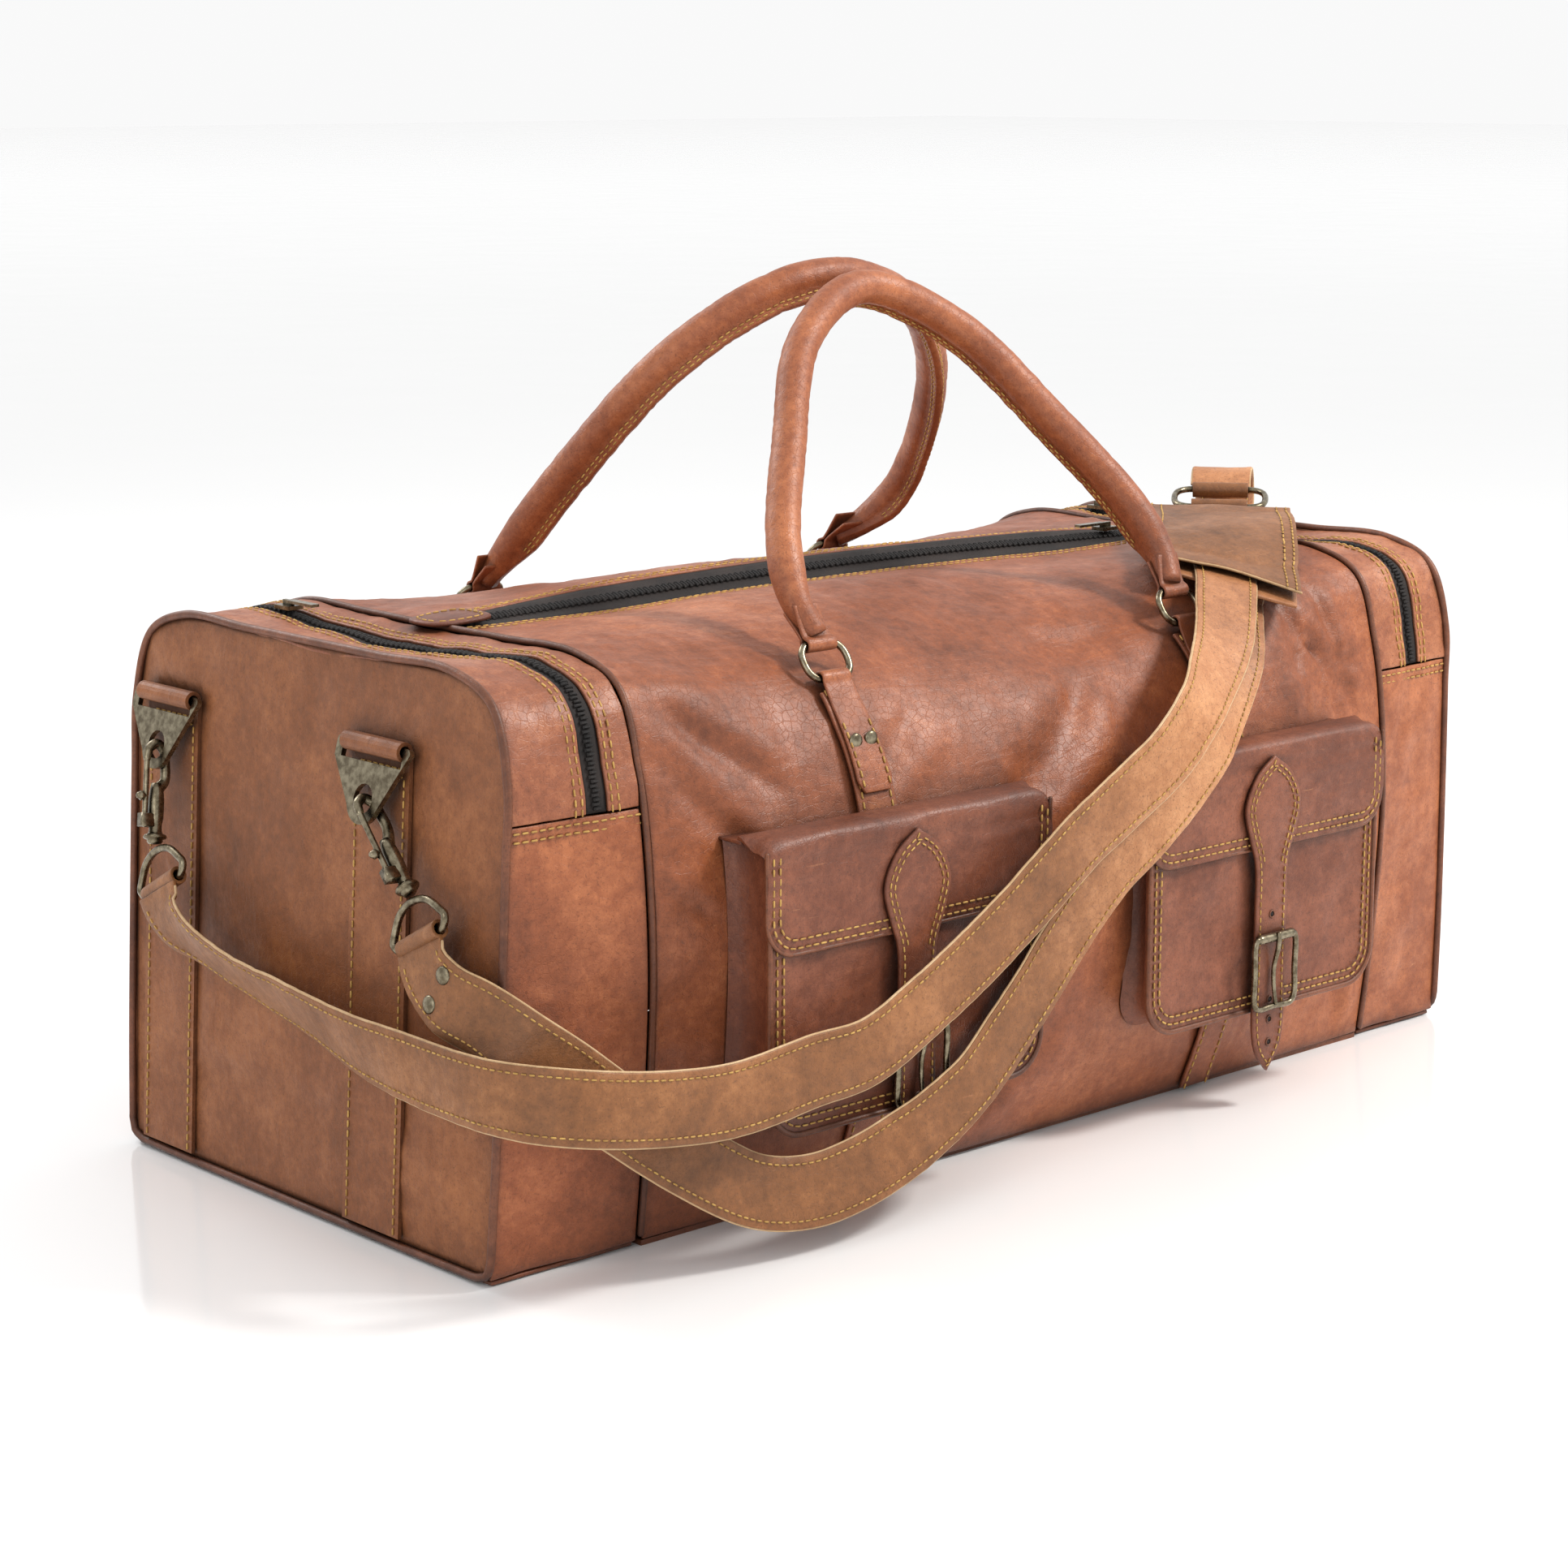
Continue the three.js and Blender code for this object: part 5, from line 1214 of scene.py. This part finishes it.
LONG_ROUTE = [
    ((-405.6, 102, 163), (-1, 0, 0.1)), ((-406, 94, 150), (-0.97, 0, -0.2)),
    ((-402.5, 70, 138), (-0.82, 0, -0.55)), ((-400, 36, 128), (-0.8, 0, -0.6)),
    ((-400, -20, 120), (-0.85, 0, -0.5)), ((-403, -75, 113), (-0.95, 0, -0.3)),
    ((-405, -130, 111), (-1, -0.2, -0.1)), ((-404, -196, 111), (-0.8, -0.6, 0)),
    ((-386, -231, 110), (-0.5, -0.85, 0.15)), ((-338, -243, 102), (-0.2, -1, 0.1)),
    ((-286, -244, 97), (-0.1, -1, 0.1)), ((-232, -243, 101), (0, -1, 0.1)), ((-194, -244, 104), (0, -1, 0)),
    ((-156, -244, 120), (0, -1, 0)), ((-117, -243, 139), (0, -1, 0)), ((-80, -242, 160), (0, -1, 0)),
    ((-31, -241, 191), (0, -1, 0)), ((0, -240, 207), (0, -1, 0)), ((40, -240, 229), (0, -1, 0.05)),
    ((70, -235, 250), (0, -1, 0.15)), ((100, -219, 266), (-0.1, -0.9, 0.35)),
    ((133, -198, 281), (-0.2, -0.75, 0.55)), ((165, -172, 297), (-0.2, -0.6, 0.75)),
    ((190, -150, 305), (-0.2, -0.5, 0.82)), ((238, -103, 315), (-0.1, -0.3, 0.95)),
    ((272, -74, 321), (-0.1, -0.2, 1)), ((296, -52, 325), (-0.1, -0.1, 1)), (buckle_bar(-1), (-0.1, -0.1, 1)),
]
SHORT_ROUTE = [
    ((-392.5, -123, 172), (-1, 0, 0.1)), ((-395, -130, 161), (-1, 0, 0.1)),
    ((-395.5, -148, 150), (-0.95, -0.2, 0.1)), ((-391, -172, 143), (-0.85, -0.5, 0.1)),
    ((-384, -194, 132), (-0.6, -0.8, 0.1)), ((-367, -206, 117), (-0.4, -0.9, 0.1)),
    ((-342, -216, 95), (-0.2, -1, 0.1)), ((-302, -226, 64), (-0.1, -1, 0.1)),
    ((-262, -232, 40), (0, -1, 0.2)),
    ((-228, -237, 34), (0, -1, 0.25)), ((-197, -240, 38), (0, -1, 0.25)), ((-168, -241, 46), (0, -1, 0.2)),
    ((-143, -241, 55), (0, -1, 0.1)), ((-110, -239, 71), (0, -1, 0)), ((-82, -236, 92), (0, -1, 0)),
    ((-57, -233, 112), (0, -1, 0)), ((-32, -232, 137), (0, -1, 0)), ((5, -231, 168), (0, -1, 0)),
    ((43, -230, 190), (0, -1, 0)), ((72, -231, 213), (0, -1, 0)), ((93, -229, 232), (0, -1, 0.05)),
    ((117, -214, 248), (0, -0.9, 0.35)), ((150, -193, 269), (-0.1, -0.75, 0.6)),
    ((180, -165, 286), (-0.2, -0.6, 0.75)), ((207, -140, 294), (-0.2, -0.45, 0.9)),
    ((240, -110, 303), (-0.1, -0.3, 0.95)), ((275, -76, 311), (-0.1, -0.2, 1)),
    ((310, -46, 314), (0, -0.1, 1)),
    ((340, -20, 314), (0, 0, 1)), ((364, 1, 316), (-0.3, -0.3, 0.9)), ((377, 12, 328), (-0.75, -0.65, 0)),
    ((367, 5, 343), (-0.4, -0.35, -0.8)), ((352, -6, 344), (0.2, 0.2, -0.95)),
    (buckle_bar(1), (0.5, 0.5, -0.7)),
]


def pushed_out(point, clearance):
    """The point, no nearer than the clearance to the main compartment's skin along a ray from its core."""
    if point[0] < SEAM_LEFT:
        return point
    section = Skin.whole(Skin.half(point[0]))
    ray = point[1:] - CORE
    reach = np.linalg.norm(ray)
    ray = ray / reach
    angles = np.arctan2(section[:, 1] - CORE[1], section[:, 0] - CORE[0])
    wanted_angle = math.atan2(ray[1], ray[0])
    gap = np.abs(np.angle(np.exp(1j * (angles - wanted_angle))))
    near = np.argsort(gap)[:2]
    skin = np.linalg.norm(section[near] - CORE, axis=1).mean()
    wanted = max(reach, skin + clearance)
    return np.array([point[0], *(CORE + ray * wanted)])


def band_grid(route, width, thickness, step, clearance=0.0, columns=9, share=(0.0, 1.0)):
    """A flat band's outer face along a route, the direction out at each row, and its length."""
    place, facing = spline([p for p, _ in route]), spline([f for _, f in route])
    fine = np.linspace(share[0], share[1], 900)
    pts, outs = place(fine), facing(fine)
    run = np.concatenate([[0], np.cumsum(np.linalg.norm(np.diff(pts, axis=0), axis=1))])
    marks = np.linspace(0, run[-1], int(run[-1] / step) + 1)
    pts = np.stack([np.interp(marks, run, pts[:, k]) for k in range(3)], axis=1)
    outs = np.stack([np.interp(marks, run, outs[:, k]) for k in range(3)], axis=1)
    along = np.gradient(pts, axis=0)
    along /= np.linalg.norm(along, axis=1, keepdims=True)
    outs -= along * (outs * along).sum(axis=1, keepdims=True)
    outs /= np.linalg.norm(outs, axis=1, keepdims=True)
    across = np.cross(along, outs)
    grid = np.array([
        pts[i] + across[i] * a * width / 2 + outs[i] * thickness / 2
        for i in range(len(pts)) for a in np.linspace(-1, 1, columns)
    ]).reshape(len(pts), columns, 3)
    if clearance:
        grid = np.array([[pushed_out(p, clearance + thickness) for p in row] for row in grid])
    return grid, outs, run[-1]


def long_edge(grid, column, inner):
    """One long edge of a band, and the direction from it into the band."""
    toward = grid[:, inner] - grid[:, column]
    return grid[:, column], toward / np.linalg.norm(toward, axis=1, keepdims=True)


def build_strap(name, route, clearance, seed, bar, far_bar):
    """One part of the shoulder strap, rolled round a dee ring at one end and the buckle at the other."""
    grid, outs, length = band_grid(route, STRAP_WIDTH - 0.6, STRAP_THICKNESS, 3.0, clearance)
    flat = grid.reshape(-1, 3)
    normals = normals_of(grid)
    if (normals * outs[:, None]).sum() < 0:
        normals = -normals
    wave = 0.45 * fbm(flat, 30, 2, seed) + 0.2 * fbm(flat, 9, 2, seed + 4)
    ridge = 0.35 * np.clip(1 - np.abs(fbm(flat * np.array([1.0, 1.0, 0.5]), 12, 2, seed)) * 3, 0, 1) ** 2
    lift = (wave + ridge - 0.45).reshape(grid.shape[:2])
    crown_row = 0.35 * (1 - np.linspace(-1, 1, grid.shape[1]) ** 2)[None]
    grid = grid + normals * (lift + crown_row * 0.6)[..., None]
    obj = shell(name + "_leather", grid, outward(grid, normals) * 2.4, STRAP_MIX, rim=0.6,
                slot="strap_leather", replaces=(name,))
    for column, inner, letter in ((0, 1, "a"), (-1, -2, "b")):
        edge, toward = long_edge(grid, column, inner)
        row = even(edge + toward * 4.0 + normals[:, column] * 0.1, 2.6)[3:-3]
        Stitching.add(row, normal=normals[:, column].mean(axis=0), length=3.0, gap=1.4, radius=0.55)
        raw = edge - normals[:, column] * 1.3
        tube(f"{name}_edge_{letter}", even(raw, 4)[1:-1], 0.9, RAW, 6, slot="strap_leather")
    for end, centre, direction, radius in (
        ("bar", bar, DEE_ACROSS, DEE_WIRE), ("buckle", far_bar, BUCKLE_ACROSS, BUCKLE_WIRE),
    ):
        direction = np.array(direction, float)
        direction /= np.linalg.norm(direction)
        line = np.array([np.array(centre) + direction * s for s in np.linspace(-18, 18, 12)])
        _, side_dir, other = frames_along(line)
        rings = [[p + (s * math.cos(a) + o * math.sin(a)) * (radius + 3.0) for a in turns(20)]
                 for p, s, o in zip(line, side_dir, other)]
        roll = np.array(rings).transpose(1, 0, 2)
        good = ((roll - line.mean(axis=0)) * normals_of(roll, True)).sum() > 0
        shell(f"{name}_roll_{end}", roll, 2.0 if good else -2.0,
              OLIVE, closed=True, rim=0.4, slot="strap_leather")
    return grid, normals


build_strap(
    "shoulder_strap_long", LONG_ROUTE, LONG_LIFT, 2.0, BACK_DEE_BAR, buckle_bar(-1),
)
short_grid, short_normals = build_strap(
    "shoulder_strap_short", SHORT_ROUTE, SHORT_LIFT, 6.0, FRONT_DEE_BAR, buckle_bar(1),
)

# Rivets hold the front end of the strap's fold.
RIVET_ROW, RIVET_COLUMNS = 9, (2, 6)
for column in RIVET_COLUMNS:
    centre, normal = short_grid[RIVET_ROW, column], short_normals[RIVET_ROW, column]
    t = Vector(normal).orthogonal().normalized()
    b = Vector(normal).cross(t)
    head = ((0.1, 1.5), (2.6, 1.3), (4.2, 0.8), (4.9, 0.2), (4.9, -0.6))
    ring = [centre + normal * d + (np.array(t) * math.cos(a) + np.array(b) * math.sin(a)) * r
            for r, d in head for a in turns(RIVET_SIDES)]
    faces = quads(5, RIVET_SIDES, False, True)
    faces += [tuple(range(RIVET_SIDES)), tuple(range(len(ring) - RIVET_SIDES, len(ring)))[::-1]]
    piece(f"strap_rivet_{column}", ring, faces, BRASS, slot="brass")


# ---- Shoulder pad --------------------------------------------------------------------------------
# The back layer lies under the long strap and the front layer over it, along three spans near its far end.
LAST_SPAN = len(LONG_ROUTE) - 1
PAD_SHARE = (23 / LAST_SPAN - 0.010, 26 / LAST_SPAN + 0.004)
for layer, thickness, width in (("back", 2.0, PAD_WIDTH - 2), ("front", 2.2, PAD_WIDTH - 1)):
    grid, outs, _ = band_grid(LONG_ROUTE, width, PAD_THICKNESS, 3.0, PAD_LIFT, 25, PAD_SHARE)
    rows, columns = grid.shape[:2]
    span = np.linspace(-1, 1, columns)
    if layer == "front":
        fade = np.linspace(1, 0, rows)[:, None] ** 2
        along = np.gradient(grid, axis=0)
        along /= np.linalg.norm(along, axis=2, keepdims=True)
        grid = grid + along * (7 + 5 * (1 - span**2) * fade)[..., None] * fade[..., None]
    normals = normals_of(grid)
    if normals[..., 2].mean() < 0:
        normals = -normals
    flat = grid.reshape(-1, 3)
    push = (0.3 * fbm(flat, 40, 2, 3.0)).reshape(rows, columns)
    bulge = 1.2 * np.exp(-((span / 0.42) ** 2))[None] if layer == "front" else 0
    grid = grid + normals * (push + bulge + (0.6 if layer == "front" else -6.3))[..., None]
    obj = shell(f"shoulder_pad_{layer}", grid, outward(grid, normals) * thickness,
                OLIVE if layer == "front" else PALE, rim=0.6, slot="strap_leather",
                replaces=("shoulder_pad",) if layer == "front" else ())
    if layer == "front":
        for column, inner in ((0, 1), (-1, -2)):
            edge, toward = long_edge(grid, column, inner)
            for inset in (3.0, 9.0):
                Stitching.add(edge + toward * inset + normals[:, column] * 0.2,
                              normal=normals[:, column].mean(axis=0))
        tube("shoulder_pad_lip", grid[0] - normals[0] * 1.1, 0.9, RAW, 6, slot="strap_leather")


# ---- Strap buckle, snaps and rings ---------------------------------------------------------------
def frame_of(across, up):
    """A turn that takes Y to a direction and X as near as it can to another."""
    y = np.array(up, float) / np.linalg.norm(up)
    x = np.array(across, float)
    x = x - y * x.dot(y)
    x /= np.linalg.norm(x)
    z = np.cross(x, y)
    m = Matrix.Identity(4)
    for k in range(3):
        m[k][0], m[k][1], m[k][2] = x[k], y[k], z[k]
    return m


w, h = 28, BUCKLE_HALF_LENGTH
outline = spline([
    (-w + 6, -h, 0), (0, -h, 0), (w - 6, -h, 0), (w, -h + 6, 0), (w, h - 6, 0),
    (w - 6, h, 0), (0, h, 0), (-w + 6, h, 0), (-w, h - 6, 0), (-w, -h + 6, 0),
], True)(np.linspace(0, 1, 90, endpoint=False))
turn = Matrix.Translation(tuple(BUCKLE_CENTRE)) @ frame_of(BUCKLE_ACROSS, BUCKLE_ALONG)
tube("strap_buckle_wire", moved(outline, turn), BUCKLE_WIRE, BRASS, 12, True, slot="brass",
     replaces=("strap_buckle",))

BOLT_X, BARREL = 6.8, 32


def turned(profile, sides=20):
    """A turned solid about local Y from (radius, height) pairs."""
    points = np.array([(r * math.cos(a), y, r * math.sin(a)) for r, y in profile for a in turns(sides)])
    faces = quads(len(profile), sides, False, True)
    faces += [tuple(range(sides))[::-1], tuple(range(len(points) - sides, len(points)))]
    return points, faces


def build_snap(name, swivel, eye, dee_bar):
    """A snap hook from its swivel up to an eye, its sprung bolt, and the dee ring below."""
    up = np.array(eye) - np.array(swivel)
    reach = np.linalg.norm(up)
    place = Matrix.Translation(swivel) @ frame_of((-1, 0, 0), up)
    hook = spline([
        (-1.2, BARREL - 2, 0), (-4.6, reach - 20, 0), (-4.6, reach - 10, 0), (-3.6, reach - 3, 0),
        (1, reach + 0.5, 0), (5.5, reach - 2.5, 0), (BOLT_X, reach - 8, 0),
    ])(np.linspace(0, 1, 40))
    radii = np.interp(np.linspace(0, 1, 40), [0, 0.2, 0.5, 0.8, 1], [3.4, 2.8, 2.8, 2.7, 2.2])
    parts = [tube_parts(hook, radii, 14)]
    parts.append(turned([
        (0.5, -1.5), (3.4, -1.2), (4.4, 0), (4.4, 1.2), (6.0, 1.6), (6.6, 2.6), (6.0, 3.8), (4.3, 4.4),
        (3.6, 6), (3.5, 9), (4.2, 13), (4.4, 17), (4.3, 24), (3.8, 29), (3.0, 32.5), (0.5, 33),
    ]))
    guide = slab_parts([(2, 8), (2, 15.5), (BOLT_X + 3.0, 15.5), (BOLT_X + 3.0, 8)], -3.0, 3.0, 0.8)
    parts.append((guide[0][:, [0, 2, 1]], guide[1]))
    points, faces = joined(parts)
    piece(f"{name}_body_metal", moved(points, place), faces, BRASS, slot="brass", replaces=(f"{name}_body",))
    pin = tube_parts(np.linspace((BOLT_X, 9, 0), (BOLT_X, reach - 9.2, 0), 12), 1.6, 12)
    knob = tube_parts(np.linspace((BOLT_X, 25, 0), (BOLT_X + 4.0, 25, 0), 5), [1.5, 1.8, 2.4, 2.8, 2.0], 12)
    points, faces = joined([pin, knob])
    piece(f"{name}_bolt_metal", moved(points, place), faces, BRASS, f"{name.split('_')[0]}_bolt",
          slot="brass", replaces=(f"{name}_bolt",))
    drop = np.array(swivel) - np.array(dee_bar)
    top = np.linalg.norm(drop) - 3 - DEE_WIRE
    ring = spline([
        (0, top, 0), (-13, top - 3, 0), (-22, top - 11, 0), (-25, 5, 0), (-21, 0, 0),
        (0, 0, 0), (21, 0, 0), (25, 5, 0), (22, top - 11, 0), (13, top - 3, 0),
    ], True)(np.linspace(0, 1, 90, endpoint=False))
    turn = Matrix.Translation(dee_bar) @ frame_of(DEE_ACROSS, drop)
    tube(f"{name}_ring_wire", moved(ring, turn), DEE_WIRE, BRASS, 12, True, slot="brass",
         replaces=(f"{name}_ring",))


def eye_of(y):
    """The eye of a triangle plate at the left end."""
    x = end_x(ENDS["left"], BAR_HEIGHT) - BAR_OUT - EYE_DROP * math.sin(EYE_TILT)
    return x, y, BAR_HEIGHT - EYE_DROP * math.cos(EYE_TILT)


build_snap("front_snap", (-389, -110, 197), eye_of(END_STRAP_Y["front"]), FRONT_DEE_BAR)
build_snap("back_snap", (-398, 115, 187), eye_of(END_STRAP_Y["back"]), BACK_DEE_BAR)


# ---- CAD nodes that keep their own shape ---------------------------------------------------------
KEPT = {
    BRASS: ["main_zip_slider", "left_end_zip_slider", "right_end_zip_slider"]
    + [f"{e}_{w}_triangle" for e in ENDS for w in END_STRAP_Y],
    TAN: ["base_panel"],
    TAN_END: [f"{e}_{w}_strap" for e in ENDS for w in END_STRAP_Y],
    BOARD: ["base_board"],
    BROWN: ["left_divider", "right_divider"],
}
for material, names in KEPT.items():
    for node in names:
        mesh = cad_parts[node].data
        mesh.materials.clear()
        mesh.materials.append(material)

Stitching.make()


# ---- Floor and light -----------------------------------------------------------------------------
floor_mesh = bpy.data.meshes.new("floor")
floor_mesh.from_pydata([(-30, -30, 0), (30, -30, 0), (30, 30, 0), (-30, 30, 0)], [], [(0, 1, 2, 3)])
floor = bpy.data.objects.new("floor", floor_mesh)
bpy.context.scene.collection.objects.link(floor)
paper = Nodes("floor paper")
paper.shader.inputs["Base Color"].default_value = (0.96, 0.96, 0.96, 1)
paper.link(paper.ramp(paper.noise(3, 2, 0.5), [(0.3, 0.09), (0.7, 0.11)]), paper.shader.inputs["Roughness"])
floor_mesh.materials.append(paper.material)

world = bpy.data.worlds.new("studio")
bpy.context.scene.world = world
world.use_nodes = True
world.node_tree.nodes["Background"].inputs["Color"].default_value = (1, 1, 1, 1)
world.node_tree.nodes["Background"].inputs["Strength"].default_value = 0.95


def area_light(name, place, aim, size, power, tint=(1, 1, 1)):
    data = bpy.data.lights.new(name, "AREA")
    data.shape, data.size, data.energy, data.color = "SQUARE", size, power, tint
    light = bpy.data.objects.new(name, data)
    bpy.context.scene.collection.objects.link(light)
    light.location = place
    light.rotation_mode = "QUATERNION"
    light.rotation_quaternion = (Vector(aim) - Vector(place)).to_track_quat("-Z", "Y")


area_light("key", (1.2, -1.3, 1.9), (0.05, 0, 0.15), 0.45, 44, (1, 0.97, 0.93))
area_light("fill", (-2.2, -0.9, 1.0), (-0.2, 0, 0.15), 1.2, 7)
area_light("rim", (-0.4, 1.8, 1.6), (0, 0, 0.25), 1.0, 18)
bpy.context.scene.view_settings.view_transform = "Standard"
